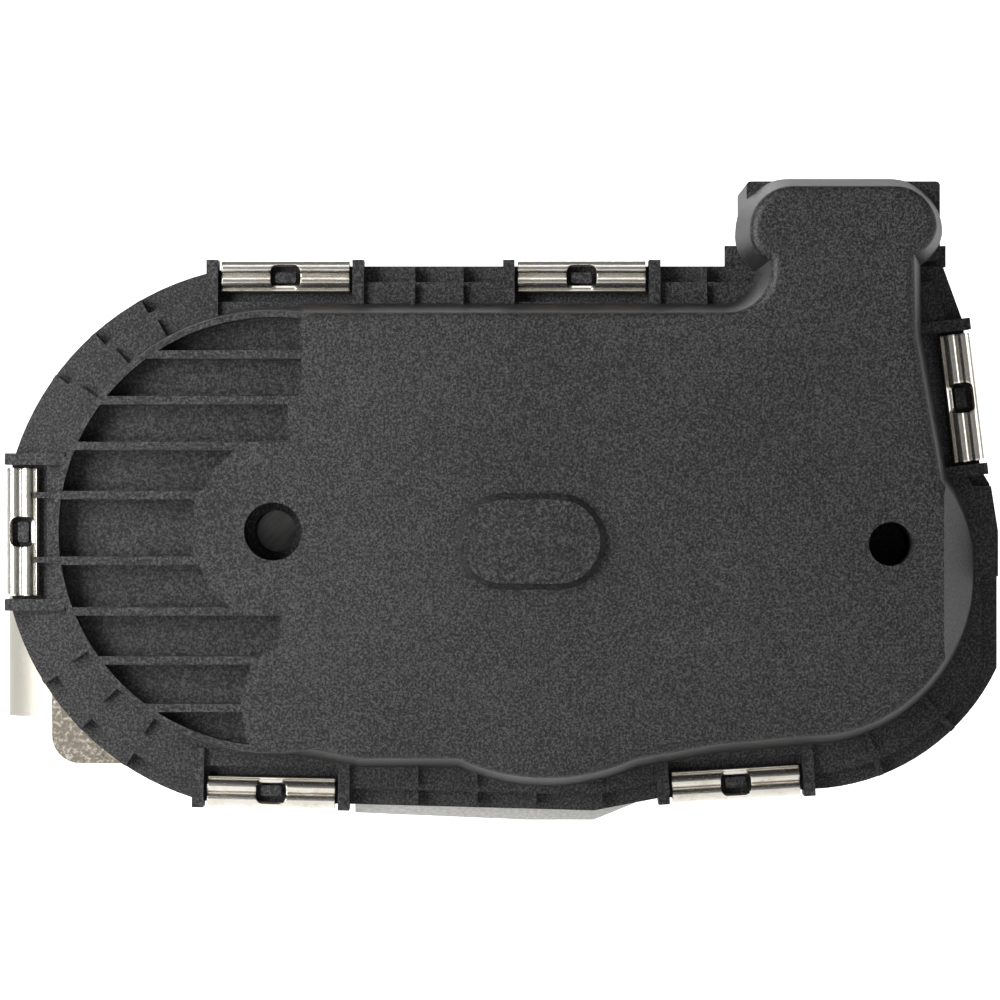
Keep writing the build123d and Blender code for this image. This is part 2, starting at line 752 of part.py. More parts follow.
# ---- Clips over the cover flange and the case rim
clip_back = rim_back - clip_gap - clip_sheet / 2
clip_crest = band_front - 0.3
clip_valley = cover_flange_front + clip_gap + clip_sheet / 2 + 0.45
clip_web = -clip_sheet / 2 - clip_gap
for number, (seat, direction) in enumerate(clip_seats, start=1):
    along_edge = Vector(cos(radians(direction)), 0, sin(radians(direction)))
    inwards = Vector(-sin(radians(direction)), 0, cos(radians(direction)))
    section = Plane(
        origin=(seat[0], 0, shaft_height + seat[1]), x_dir=inwards, z_dir=along_edge
    )
    with BuildPart() as clip:
        with BuildSketch(section):
            with BuildLine():
                FilletPolyline(
                    (clip_reach - 0.4, clip_back),
                    (clip_web, clip_back),
                    (clip_web, clip_crest - 0.8),
                    (0.1, clip_crest),
                    (0.8, clip_crest),
                    (1.25, clip_valley),
                    (1.7, clip_crest),
                    (2.4, clip_crest),
                    (clip_reach - 0.3, clip_valley - 0.3),
                    radius=0.34,
                )
            trace(line_width=clip_sheet)
        extrude(amount=clip_length / 2, both=True)
        with BuildSketch(front(cover_flange_front + 0.1)):
            with Locations(Location((seat[0], seat[1], 0), (0, 0, direction))):
                with Locations((0, 1.45)):
                    RectangleRounded(clip_window_length, clip_window_width, 0.5)
        extrude(amount=4, mode=Mode.SUBTRACT)
    finish(clip, f"cover_clip_{number}")

# ---- Throttle shaft with the plate in its slot, at the rest opening
plate_plane = Plane(origin=(0, 0, shaft_height), x_dir=(1, 0, 0), z_dir=(0, 0, 1)).rotated(
    (0, rest_opening, 0)
)
plate_radius = bore_radius - plate_clearance
screw_pitch = 24.0
plate_screw_radius = 1.5
screw_head_radius = 2.6
screw_head_height = 1.4
shaft_flat = 1.4
screw_places = [(0, s * screw_pitch / 2) for s in (-1, 1)]

with BuildPart() as shaft:
    with BuildSketch(front(shaft_back)):
        Circle(shaft_radius)
    extrude(amount=shaft_front - shaft_back)
    with BuildSketch(plate_plane.offset(-plate_thickness / 2)):
        Rectangle(2.4 * shaft_radius, 2 * plate_radius + 0.1)
    extrude(amount=plate_thickness, mode=Mode.SUBTRACT)
    with BuildSketch(plate_plane.offset(shaft_radius - shaft_flat)):
        Rectangle(2.4 * shaft_radius, 2 * plate_radius - 9)
    extrude(amount=shaft_flat + 1, mode=Mode.SUBTRACT)
    with BuildSketch(plate_plane.offset(-shaft_radius)):
        with Locations(*screw_places):
            Circle(plate_screw_radius)
    extrude(amount=2 * shaft_radius, mode=Mode.SUBTRACT)
finish(shaft, "throttle_shaft")

with BuildPart() as plate:
    with BuildSketch(plate_plane.offset(-plate_thickness / 2)):
        Circle(plate_radius)
        with Locations(*screw_places):
            Circle(plate_screw_radius, mode=Mode.SUBTRACT)
    extrude(amount=plate_thickness)
finish(plate, "throttle_plate")

with BuildPart() as plate_screws:
    with BuildSketch(plate_plane.offset(-shaft_radius + 0.4)):
        with Locations(*screw_places):
            Circle(plate_screw_radius)
    extrude(amount=2 * shaft_radius - shaft_flat - 0.4)
    with BuildSketch(plate_plane.offset(shaft_radius - shaft_flat)):
        with Locations(*screw_places):
            Circle(screw_head_radius)
    extrude(amount=screw_head_height)
    with BuildSketch(plate_plane.offset(shaft_radius - shaft_flat + screw_head_height)):
        with Locations(*screw_places):
            Rectangle(3.0, 0.6)
            Rectangle(0.6, 3.0)
    extrude(amount=-0.7, mode=Mode.SUBTRACT)
finish(plate_screws, "plate_screws")

# ---- Shaft bearings and the far end cap
needle_orbit = shaft_radius + running_clearance + needle_radius
needle_cup = ring(
    shaft_radius + 2 * needle_radius + 2 * running_clearance, needle_cup_radius,
    needle_cup_back, drive_seat_front,
)
finish(needle_cup, "needle_bearing_cup")
with BuildPart() as needles:
    with BuildSketch(front(needle_cup_back + 0.5)):
        with PolarLocations(needle_orbit, needle_count):
            Circle(needle_radius)
    extrude(amount=drive_seat_front - needle_cup_back - 1.0)
finish(needles, "needle_rollers")

ball_orbit = (shaft_radius + ball_bearing_radius) / 2
ball_radius = 1.15
race_wall = 1.2


def bearing_race(inner, outer):
    """One ring of the ball bearing, turned with its ball groove."""
    middle = -(far_bearing_back + far_seal_back) / 2
    with BuildPart() as race:
        with BuildSketch(Plane.XY.offset(shaft_height)):
            with Locations(((inner + outer) / 2, middle)):
                Rectangle(outer - inner, ball_bearing_width)
            with Locations((ball_orbit, middle)):
                Circle(ball_radius + 0.02, mode=Mode.SUBTRACT)
        revolve(axis=Axis((0, 0, shaft_height), (0, 1, 0)))
    return race


outer_race = bearing_race(ball_bearing_radius - race_wall, ball_bearing_radius)
inner_race = bearing_race(shaft_radius, shaft_radius + race_wall)
finish(outer_race, "far_bearing_outer_race")
finish(inner_race, "far_bearing_inner_race")
with BuildPart() as balls:
    with Locations(front((far_bearing_back + far_seal_back) / 2)):
        with PolarLocations(ball_orbit, ball_count):
            Sphere(ball_radius)
finish(balls, "far_bearing_balls")
far_cap = ring(0, ball_bearing_radius, cap_back, cap_back + cap_thickness)
finish(far_cap, "far_side_cap")


# ---- Gears
def involute(angle):
    """Involute function of an angle in radians."""
    return tan(angle) - angle


def tooth_outline(teeth, module):
    """Closed points of one tooth that points along +X, flanks straight between involute points."""
    pitch = teeth * module / 2
    base = pitch * cos(radians(pressure_angle))
    tip = pitch + 0.85 * module
    root = pitch - 1.25 * module
    half = pi / (2 * teeth) - tooth_backlash * module / (2 * pitch) + involute(radians(pressure_angle))
    flank = []
    for radius in (root, max(root, base) + 0.12 * module, pitch, tip):
        grip = max(radius, base)
        flank.append((radius, half - involute(acos(base / grip))))
    foot_angle = flank[0][1] * 0.9
    points = [(0.9 * root * cos(foot_angle), -0.9 * root * sin(foot_angle))]
    points += [(r * cos(a), -r * sin(a)) for r, a in flank]
    points += [(r * cos(a), r * sin(a)) for r, a in reversed(flank)]
    points.append((0.9 * root * cos(foot_angle), 0.9 * root * sin(foot_angle)))
    return points, root


def gear_sketch(teeth, module, first_angle, tooth_numbers):
    """Gear teeth at whole steps from a first angle, with the root disc inside them."""
    points, root = tooth_outline(teeth, module)
    step = 360 / teeth
    with BuildSketch() as gear:
        Circle(root)
        with Locations(*[Location((0, 0, 0), (0, 0, first_angle + step * k)) for k in tooth_numbers]):
            with BuildLine():
                Polyline(*points, close=True)
            make_face()
    return gear.sketch


segment_hole_orbit = 17.0
segment_hole_radius = 3.2
segment_first = -12
segment_last = 3
segment_step = 360 / segment_teeth
segment_low_angle = -112.0
segment_high_angle = mesh_angle + segment_step * segment_last + 4.0
with BuildSketch() as sector_sketch:
    with BuildLine():
        Line((0, 0), polar(40, segment_low_angle))
        ThreePointArc(
            polar(40, segment_low_angle),
            polar(40, (segment_low_angle + segment_high_angle) / 2),
            polar(40, segment_high_angle),
        )
        Line(polar(40, segment_high_angle), (0, 0))
    make_face()
    add(
        gear_sketch(segment_teeth, segment_module, mesh_angle, range(segment_first, segment_last + 1)),
        mode=Mode.INTERSECT,
    )
    with Locations(*[polar(segment_hole_orbit, a) for a in (-14.0, -48.0, -82.0)]):
        Circle(segment_hole_radius, mode=Mode.SUBTRACT)

magnet_back = segment_front + 0.4
magnet_front = sensor_cup_front - 1.0
with BuildPart() as segment_gear:
    with BuildSketch(front(segment_back)):
        add(sector_sketch.sketch)
    extrude(amount=segment_front - segment_back)
    with BuildSketch(front(segment_back)):
        Circle(sensor_cup_radius)
    extrude(amount=sensor_cup_front - segment_back)
    with BuildSketch(front(magnet_back)):
        Circle(magnet_outer_radius)
    extrude(amount=sensor_cup_front - magnet_back + 1, mode=Mode.SUBTRACT)
    with BuildSketch(front(segment_back)):
        Circle(shaft_radius)
    extrude(amount=magnet_back - segment_back, mode=Mode.SUBTRACT)
finish(segment_gear, "segment_gear")
magnet_ring = ring(magnet_inner_radius, magnet_outer_radius, magnet_back + 0.1, magnet_front)
finish(magnet_ring, "sensor_magnet_ring")

with BuildPart() as intermediate:
    with BuildSketch(front(segment_back)):
        with Locations(axle_place):
            add(gear_sketch(
                small_gear_teeth, segment_module,
                mesh_angle + 180 + 180 / small_gear_teeth, range(small_gear_teeth),
            ))
    extrude(amount=drive_back - segment_back)
    with BuildSketch(front(drive_back)):
        with Locations(axle_place):
            add(gear_sketch(large_gear_teeth, drive_module, 0, range(large_gear_teeth)))
        with Locations(axle_place):
            with PolarLocations(12.6, 6):
                Circle(3.4, mode=Mode.SUBTRACT)
    extrude(amount=drive_front - drive_back)
    with BuildSketch(front(case_floor + 1.8)):
        with Locations(axle_place):
            Circle(axle_radius + 1.6)
    extrude(amount=drive_front + 2.0 - case_floor - 1.8)
    with BuildSketch(front(case_floor)):
        with Locations(axle_place):
            Circle(axle_radius + running_clearance)
    extrude(amount=30, mode=Mode.SUBTRACT)
finish(intermediate, "intermediate_gear")

axle = ring(0, axle_radius, case_back - 4, under_dome - 0.9, axle_place)
finish(axle, "intermediate_axle")

with BuildPart() as pinion:
    with BuildSketch(front(drive_back - 0.6)):
        with Locations(motor_place):
            add(gear_sketch(
                pinion_teeth, drive_module, 180 + 180 / pinion_teeth, range(pinion_teeth)
            ))
            Circle(motor_shaft_radius, mode=Mode.SUBTRACT)
    extrude(amount=drive_front + 0.6 - drive_back + 0.6)
finish(pinion, "motor_pinion")

# ---- Return spring, its sleeve, and the stop screw
spring_turns = 4.2
spring_pitch = 1.75
spring_start = spring_pocket_floor + spring_wire_radius + 0.3
with BuildPart() as spring:
    with BuildLine():
        coil_line = Helix(
            spring_pitch, spring_turns * spring_pitch, spring_radius,
            center=(0, -spring_start, shaft_height), direction=(0, -1, 0),
        )
    with BuildSketch(Plane(origin=coil_line @ 0, z_dir=coil_line % 0)):
        Circle(spring_wire_radius)
    sweep()
finish(spring, "return_spring")

with BuildPart() as stop_screw:
    with BuildSketch(Plane.YZ.offset(stop_boss_left + 2)):
        with Locations((-stop_depth, shaft_height + stop_height)):
            Circle(stop_screw_radius)
    extrude(amount=stop_tip_x - stop_boss_left - 2)
    with BuildSketch(Plane.YZ.offset(stop_boss_left + 2)):
        with Locations((-stop_depth, shaft_height + stop_height)):
            RegularPolygon(1.1, 6)
    extrude(amount=2.2, mode=Mode.SUBTRACT)
finish(stop_screw, "stop_screw")

# ---- Motor
with BuildPart() as can:
    with BuildSketch(front(motor_back)):
        with Locations(motor_place):
            Circle(motor_radius)
    extrude(amount=case_floor - motor_back)
    with BuildSketch(front(motor_back - rear_bush_length)):
        with Locations(motor_place):
            Circle(rear_bush_radius)
    extrude(amount=rear_bush_length)
    with BuildSketch(front(motor_back + motor_sheet)):
        with Locations(motor_place):
            Circle(motor_radius - motor_sheet)
    extrude(amount=motor_length, mode=Mode.SUBTRACT)
    with BuildSketch(front(motor_back - rear_bush_length + motor_sheet)):
        with Locations(motor_place):
            Circle(rear_bush_radius - motor_sheet)
    extrude(amount=rear_bush_length, mode=Mode.SUBTRACT)
finish(can, "motor_can")

end_plate_front = case_floor + 1.5
front_bush_radius = 3.2
with BuildPart() as end_plate:
    with BuildSketch(front(case_floor)):
        with Locations(motor_place):
            Circle(motor_radius)
            Rectangle(9.0, 2 * motor_screw_pitch)
        with Locations(*motor_ears):
            Circle(4.5)
            Circle(motor_screw_radius + 0.1, mode=Mode.SUBTRACT)
        with Locations(motor_place):
            Circle(front_bush_radius, mode=Mode.SUBTRACT)
    extrude(amount=end_plate_front - case_floor)
finish(end_plate, "motor_end_plate")

with BuildPart() as motor_screws:
    with BuildSketch(front(case_back - 5)):
        with Locations(*motor_ears):
            Circle(motor_screw_radius)
    extrude(amount=end_plate_front - case_back + 5)
    with BuildSketch(front(end_plate_front)):
        with Locations(*motor_ears):
            Circle(3.6)
    extrude(amount=2.4)
    with BuildSketch(front(end_plate_front + 2.4)):
        with Locations(*motor_ears):
            RegularPolygon(1.6, 6)
    extrude(amount=-1.6, mode=Mode.SUBTRACT)
finish(motor_screws, "motor_screws")

bush_bore = motor_shaft_radius + running_clearance
front_bush = ring(bush_bore, front_bush_radius, case_floor - 2, case_floor + 3, motor_place)
finish(front_bush, "motor_front_bush")
rear_bush = ring(
    bush_bore, rear_bush_radius - motor_sheet,
    motor_back - rear_bush_length + motor_sheet, motor_back + motor_sheet, motor_place,
)
finish(rear_bush, "motor_rear_bush")
motor_shaft = ring(
    0, motor_shaft_radius, motor_back - rear_bush_length + motor_sheet + 0.3, drive_front + 0.6, motor_place
)
finish(motor_shaft, "motor_shaft")

with BuildPart() as magnets:
    with BuildSketch(front(motor_back + 5)):
        with Locations(motor_place):
            Circle(motor_radius - motor_sheet)
            Circle(motor_radius - motor_sheet - motor_magnet_wall, mode=Mode.SUBTRACT)
            Rectangle(9.0, 40, mode=Mode.SUBTRACT)
    extrude(amount=34)
finish(magnets, "motor_magnets")

magnet_bore = motor_radius - motor_sheet - motor_magnet_wall
core_radius = magnet_bore - armature_gap
slot_orbit = core_radius - armature_slot_drop
slot_depth = slot_orbit - armature_hub
slot_width = 2 * (slot_orbit - slot_depth / 2) * tan(pi / armature_slots) - armature_tooth
slot_round = min(armature_slot_round, 0.4 * slot_depth)
with BuildPart() as core:
    with BuildSketch(front(motor_back + 9)):
        with Locations(motor_place):
            Circle(core_radius)
            with PolarLocations(slot_orbit, armature_slots):
                RectangleRounded(slot_depth, slot_width, slot_round, mode=Mode.SUBTRACT)
            with PolarLocations(core_radius, armature_slots):
                Rectangle(armature_mouth, armature_mouth_width, mode=Mode.SUBTRACT)
            Circle(motor_shaft_radius, mode=Mode.SUBTRACT)
    extrude(amount=26)
finish(core, "armature_core")

with BuildPart() as windings:
    with BuildSketch(front(motor_back + 7)):
        with Locations(motor_place):
            with PolarLocations(slot_orbit, armature_slots):
                RectangleRounded(
                    slot_depth - 2 * winding_gap, slot_width - 2 * winding_gap, slot_round - winding_gap / 2
                )
    extrude(amount=30)
finish(windings, "armature_windings")

commutator_front = case_floor - 2.6
commutator = ring(motor_shaft_radius, 4.4, commutator_front - 8, commutator_front, motor_place)
finish(commutator, "commutator")

with BuildPart() as brushes:
    with BuildSketch(front(commutator_front - 6)):
        with Locations(*[(motor_x + s * 7.6, -axle_drop) for s in (-1, 1)]):
            Rectangle(6.0, 3.0)
    extrude(amount=4.0)
finish(brushes, "motor_brushes")

with BuildPart() as brush_holder:
    with BuildSketch(front(commutator_front - 6.8)):
        with Locations(motor_place):
            Circle(motor_radius - motor_sheet - 0.1)
            Circle(11.0, mode=Mode.SUBTRACT)
    extrude(amount=6.0)
    with BuildSketch(front(commutator_front - 6.8)):
        with Locations(*[(motor_x + s * 9.6, -axle_drop) for s in (-1, 1)]):
            Rectangle(7.0, 5.4)
    extrude(amount=6.0)
    with BuildSketch(front(commutator_front - 6)):
        with Locations(motor_place):
            Rectangle(21.2, 3.0)
    extrude(amount=4.0, mode=Mode.SUBTRACT)
finish(brush_holder, "brush_holder")

# ---- Electrics in the cover: terminals, sensor ring, board and motor contacts
with BuildPart() as terminals:
    with BuildSketch(front(terminal_back)):
        with Locations(*terminal_places):
            Rectangle(terminal_width, terminal_thickness)
    extrude(amount=terminal_front - terminal_back)
finish(terminals, "connector_terminals")

sensor_ring = ring(sensor_boss_radius, sensor_boss_radius + 1.0, magnet_back + 0.5, magnet_front)
finish(sensor_ring, "sensor_stator_ring")

board_width = 20.0
board_height = 14.0
board_place = (terminal_row_x - 4.5, 14.5)
with BuildPart() as board:
    with BuildSketch(front(under_dome - 1.6)):
        with Locations(board_place):
            RectangleRounded(board_width, board_height, 1.0)
    extrude(amount=1.6)
    with BuildSketch(front(under_dome - 1.6)):
        with Locations((board_place[0] - 3, board_place[1])):
            Rectangle(6, 6)
        with GridLocations(3, 4, 2, 2):
            with Locations((board_place[0] + 6, board_place[1])):
                Rectangle(1.6, 0.9)
    extrude(amount=-1.2)
finish(board, "sensor_board")

contact_places = [(motor_x + 12.5, -axle_drop + s * 6.0) for s in (-1, 1)]
with BuildPart() as contacts:
    with BuildSketch(front(end_plate_front + 0.3)):
        with Locations(*contact_places):
            Rectangle(0.8, 4.0)
    extrude(amount=under_dome - end_plate_front - 0.3)
finish(contacts, "motor_contacts")
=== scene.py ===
import json
import logging
import math
from dataclasses import dataclass, field
from enum import Enum
from typing import Any, Iterable, Optional

import bpy
import numpy as np
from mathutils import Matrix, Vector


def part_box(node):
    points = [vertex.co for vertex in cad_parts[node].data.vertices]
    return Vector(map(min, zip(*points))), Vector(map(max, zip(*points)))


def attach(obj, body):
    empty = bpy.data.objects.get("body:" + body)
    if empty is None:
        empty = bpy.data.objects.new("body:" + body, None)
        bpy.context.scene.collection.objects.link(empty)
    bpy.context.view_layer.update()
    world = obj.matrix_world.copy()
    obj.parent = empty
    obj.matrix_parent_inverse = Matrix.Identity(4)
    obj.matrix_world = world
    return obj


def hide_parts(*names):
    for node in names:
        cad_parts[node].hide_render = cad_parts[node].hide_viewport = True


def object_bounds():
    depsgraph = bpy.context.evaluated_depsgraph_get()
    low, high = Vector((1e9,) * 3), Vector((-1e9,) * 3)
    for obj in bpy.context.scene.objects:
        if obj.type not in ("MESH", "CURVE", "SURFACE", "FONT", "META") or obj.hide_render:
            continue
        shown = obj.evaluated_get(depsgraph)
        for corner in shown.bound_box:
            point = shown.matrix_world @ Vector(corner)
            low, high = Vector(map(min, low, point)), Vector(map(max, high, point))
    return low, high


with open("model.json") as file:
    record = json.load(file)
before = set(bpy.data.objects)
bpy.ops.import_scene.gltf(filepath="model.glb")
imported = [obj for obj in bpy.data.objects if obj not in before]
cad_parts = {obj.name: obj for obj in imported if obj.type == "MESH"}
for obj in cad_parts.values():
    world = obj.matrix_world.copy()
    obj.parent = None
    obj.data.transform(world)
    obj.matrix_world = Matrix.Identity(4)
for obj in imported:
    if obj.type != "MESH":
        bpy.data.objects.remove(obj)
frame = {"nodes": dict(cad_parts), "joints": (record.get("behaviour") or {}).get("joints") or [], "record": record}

CAD_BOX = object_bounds()
MM = 0.001
SHAFT_Z = frame["joints"][0]["pos_m"][2]
LOG = logging.getLogger("throttle_body")


class Body(Enum):
    """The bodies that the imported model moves."""

    HOUSING = "housing"
    THROTTLE = "throttle"
    INTERMEDIATE = "intermediate"
    ROTOR = "motor_rotor"


# ---------------------------------------------------------------- shader graph
class Value:
    """One number on a material's graph; each operator adds the Math node that works it out."""

    def __init__(self, graph: "Graph", socket: Any) -> None:
        """Wrap an output socket of a graph."""
        self.graph = graph
        self.socket = socket

    def _math(self, operation: str, first: Any, second: Any = None) -> "Value":
        """Add one Math node.

        Args:
            operation: Blender's name of the operation.
            first: a Value or a number for the first input.
            second: a Value or a number for the second input, where it has one.

        Returns:
            The node's result.
        """
        inputs = {0: first} if second is None else {0: first, 1: second}
        return self.graph.value("ShaderNodeMath", {"operation": operation}, inputs)

    def __add__(self, other: Any) -> "Value":
        """Sum with a Value or a number."""
        return self._math("ADD", self, other)

    def __radd__(self, other: Any) -> "Value":
        """Sum with a number on the left."""
        return self._math("ADD", other, self)

    def __sub__(self, other: Any) -> "Value":
        """Difference with a Value or a number."""
        return self._math("SUBTRACT", self, other)

    def __rsub__(self, other: Any) -> "Value":
        """Difference with a number on the left."""
        return self._math("SUBTRACT", other, self)

    def __mul__(self, other: Any) -> "Value":
        """Product with a Value or a number."""
        return self._math("MULTIPLY", self, other)

    def absolute(self) -> "Value":
        """Size without sign."""
        return self._math("ABSOLUTE", self)

    def root(self) -> "Value":
        """Square root."""
        return self._math("SQRT", self)

    def lesser(self, other: Any) -> "Value":
        """The smaller of two."""
        return self._math("MINIMUM", self, other)

    def greater(self, other: Any) -> "Value":
        """The larger of two."""
        return self._math("MAXIMUM", self, other)

    def step(self, low: float, high: float) -> "Value":
        """Smooth rise from 0 at low to 1 at high; falls where low is above high.

        Args:
            low: where the result is 0.
            high: where the result is 1.

        Returns:
            The eased share.
        """
        inputs = {"Value": self, "From Min": low, "From Max": high, "To Min": 0.0, "To Max": 1.0}
        return self.graph.value("ShaderNodeMapRange", {"interpolation_type": "SMOOTHSTEP"}, inputs)


class Graph:
    """A material with one Principled shader, and the calls that add nodes to it."""

    def __init__(self, name: str) -> None:
        """Start an empty node material of that name."""
        self.material = bpy.data.materials.new(name)
        self.material.use_nodes = True
        self.tree = self.material.node_tree
        self.shader = next(n for n in self.tree.nodes if n.type == "BSDF_PRINCIPLED")
        self._place: Optional[Any] = None

    def node(self, kind: str, settings: dict, inputs: dict) -> Any:
        """Add a node.

        Args:
            kind: Blender's type name of the node.
            settings: attributes set first; "stops" fills a colour ramp with (place, colour) pairs.
            inputs: socket name or number to a Value, an output socket or a plain value.

        Returns:
            The new node.
        """
        made = self.tree.nodes.new(kind)
        for key, setting in settings.items():
            if key == "stops":
                elements = made.color_ramp.elements
                while len(elements) < len(setting):
                    elements.new(0.5)
                for element, (place, colour) in zip(elements, setting):
                    element.position = place
                    element.color = (*colour, 1.0)
            else:
                setattr(made, key, setting)
        for key, source in inputs.items():
            socket = made.inputs[key]
            if isinstance(source, Value):
                self.tree.links.new(source.socket, socket)
            elif isinstance(source, bpy.types.NodeSocket):
                self.tree.links.new(source, socket)
            else:
                socket.default_value = source
        return made

    def value(self, kind: str, settings: dict, inputs: dict, output: Any = 0) -> Value:
        """Add a node and wrap one of its outputs."""
        return Value(self, self.node(kind, settings, inputs).outputs[output])

    def place(self) -> Any:
        """Object coordinates turned into millimetres, as an output socket."""
        if self._place is None:
            coordinates = self.node("ShaderNodeTexCoord", {}, {}).outputs["Object"]
            scaled = self.node(
                "ShaderNodeVectorMath", {"operation": "SCALE"}, {0: coordinates, "Scale": 1 / MM}
            )
            self._place = scaled.outputs["Vector"]
        return self._place

    def axes(self) -> tuple[Value, Value, Value]:
        """The three object coordinates in millimetres."""
        split = self.node("ShaderNodeSeparateXYZ", {}, {0: self.place()})
        return Value(self, split.outputs[0]), Value(self, split.outputs[1]), Value(self, split.outputs[2])

    def vector(self, x: Any, y: Any, z: Any) -> Any:
        """A vector from three values, as an output socket."""
        return self.node("ShaderNodeCombineXYZ", {}, {0: x, 1: y, 2: z}).outputs[0]

    def noise(self, scale: float, detail: float = 2.0, rough: float = 0.5, at: Any = None) -> Value:
        """Smooth noise.

        Args:
            scale: features in a millimetre, roughly.
            detail: octaves.
            rough: share that each octave keeps.
            at: the vector to read, or None for the place on the object.

        Returns:
            Noise from 0 to 1.
        """
        inputs = {"Vector": at or self.place(), "Scale": scale, "Detail": detail, "Roughness": rough}
        return self.value("ShaderNodeTexNoise", {}, inputs)

    def cells(self, scale: float, at: Any = None) -> Value:
        """Distance to the nearest seed of a scattered cell pattern."""
        return self.value("ShaderNodeTexVoronoi", {}, {"Vector": at or self.place(), "Scale": scale})

    def blend(self, share: Any, first: Any, second: Any) -> Any:
        """Mix two colours.

        Args:
            share: a Value or number, 0 for the first colour and 1 for the second.
            first: a colour of three numbers, or a colour socket.
            second: a colour of three numbers, or a colour socket.

        Returns:
            The mixed colour's socket.
        """
        inputs = {"Factor": share}
        for key, colour in ((6, first), (7, second)):
            inputs[key] = (*colour, 1.0) if isinstance(colour, tuple) else colour
        made = self.node("ShaderNodeMix", {"data_type": "RGBA", "clamp_factor": True}, inputs)
        return made.outputs[2]

    def bump(self, height: Value, depth: float, strength: float = 1.0) -> None:
        """Let a height in 0 to 1, worth a depth in millimetres, turn the surface's normal."""
        inputs = {"Height": height, "Distance": depth * MM, "Strength": strength}
        relief = self.node("ShaderNodeBump", {}, inputs)
        self.link("Normal", relief.outputs[0])

    def link(self, name: str, source: Any) -> None:
        """Lead a Value or socket into one of the shader's sockets."""
        socket = source.socket if isinstance(source, Value) else source
        self.tree.links.new(socket, self.shader.inputs[name])

    def set(self, **constants: Any) -> None:
        """Set constants on the shader's own sockets; underscores stand for spaces."""
        for key, constant in constants.items():
            self.shader.inputs[key.replace("_", " ")].default_value = constant


# ---------------------------------------------------------------- finishes
@dataclass(frozen=True)
class MouldedCover:
    """Glass-filled black plastic with a fine spark-eroded grain, a few pale specks and light rubs."""

    name: str = "black_plastic"
    dark: tuple = (0.0015, 0.0015, 0.0016)
    light: tuple = (0.058, 0.0560, 0.0560)
    rub: tuple = (0.115, 0.112, 0.110)
    grain_scale: float = 3.4
    rubbed_x: float = 56.0
    rubbed_z: float = 12.0

    def material(self) -> bpy.types.Material:
        """Build the node material."""
        graph = Graph(self.name)
        x, _, z = graph.axes()
        grain = graph.noise(self.grain_scale, 3.0, 0.62)
        fine = graph.noise(self.grain_scale * 2.7, 1.0, 0.5)
        cloud = graph.noise(0.045, 3.0, 0.55)
        specks = graph.cells(1.3).step(0.11, 0.05) * graph.noise(0.9, 1.0).step(0.52, 0.66)
        tone = (grain - 0.5) * 4.4 + (fine - 0.5) * 2.6 + cloud * 0.40 + 0.06
        colour = graph.blend(tone, self.dark, self.light)
        colour = graph.blend(specks * 0.35, colour, self.rub)
        reach_x = (x - self.rubbed_x) * 0.060
        reach_z = (z - self.rubbed_z) * 0.085
        near = (reach_x * reach_x + reach_z * reach_z).step(1.0, 0.0)
        slanted = graph.vector((x + z) * 0.10, (x - z) * 1.7, 0.0)
        strokes = graph.noise(1.0, 4.0, 0.65, slanted).step(0.60, 0.74)
        haze = graph.noise(0.20, 4.0, 0.6).step(0.46, 0.75)
        worn = near * (strokes * 0.55 + haze * 0.30) * grain.step(0.35, 0.75)
        everywhere = strokes * graph.noise(0.07, 2.0).step(0.60, 0.75) * 0.18
        colour = graph.blend((worn + everywhere).lesser(0.5), colour, self.rub)
        graph.link("Base Color", colour)
        graph.link("Roughness", 0.47 + (grain - 0.5) * 0.30 + cloud * 0.08 - worn * 0.06)
        graph.bump(grain * 0.7 + fine * 0.3, 0.055, 0.85)
        graph.set(IOR=1.50, Specular_IOR_Level=0.34)
        return graph.material


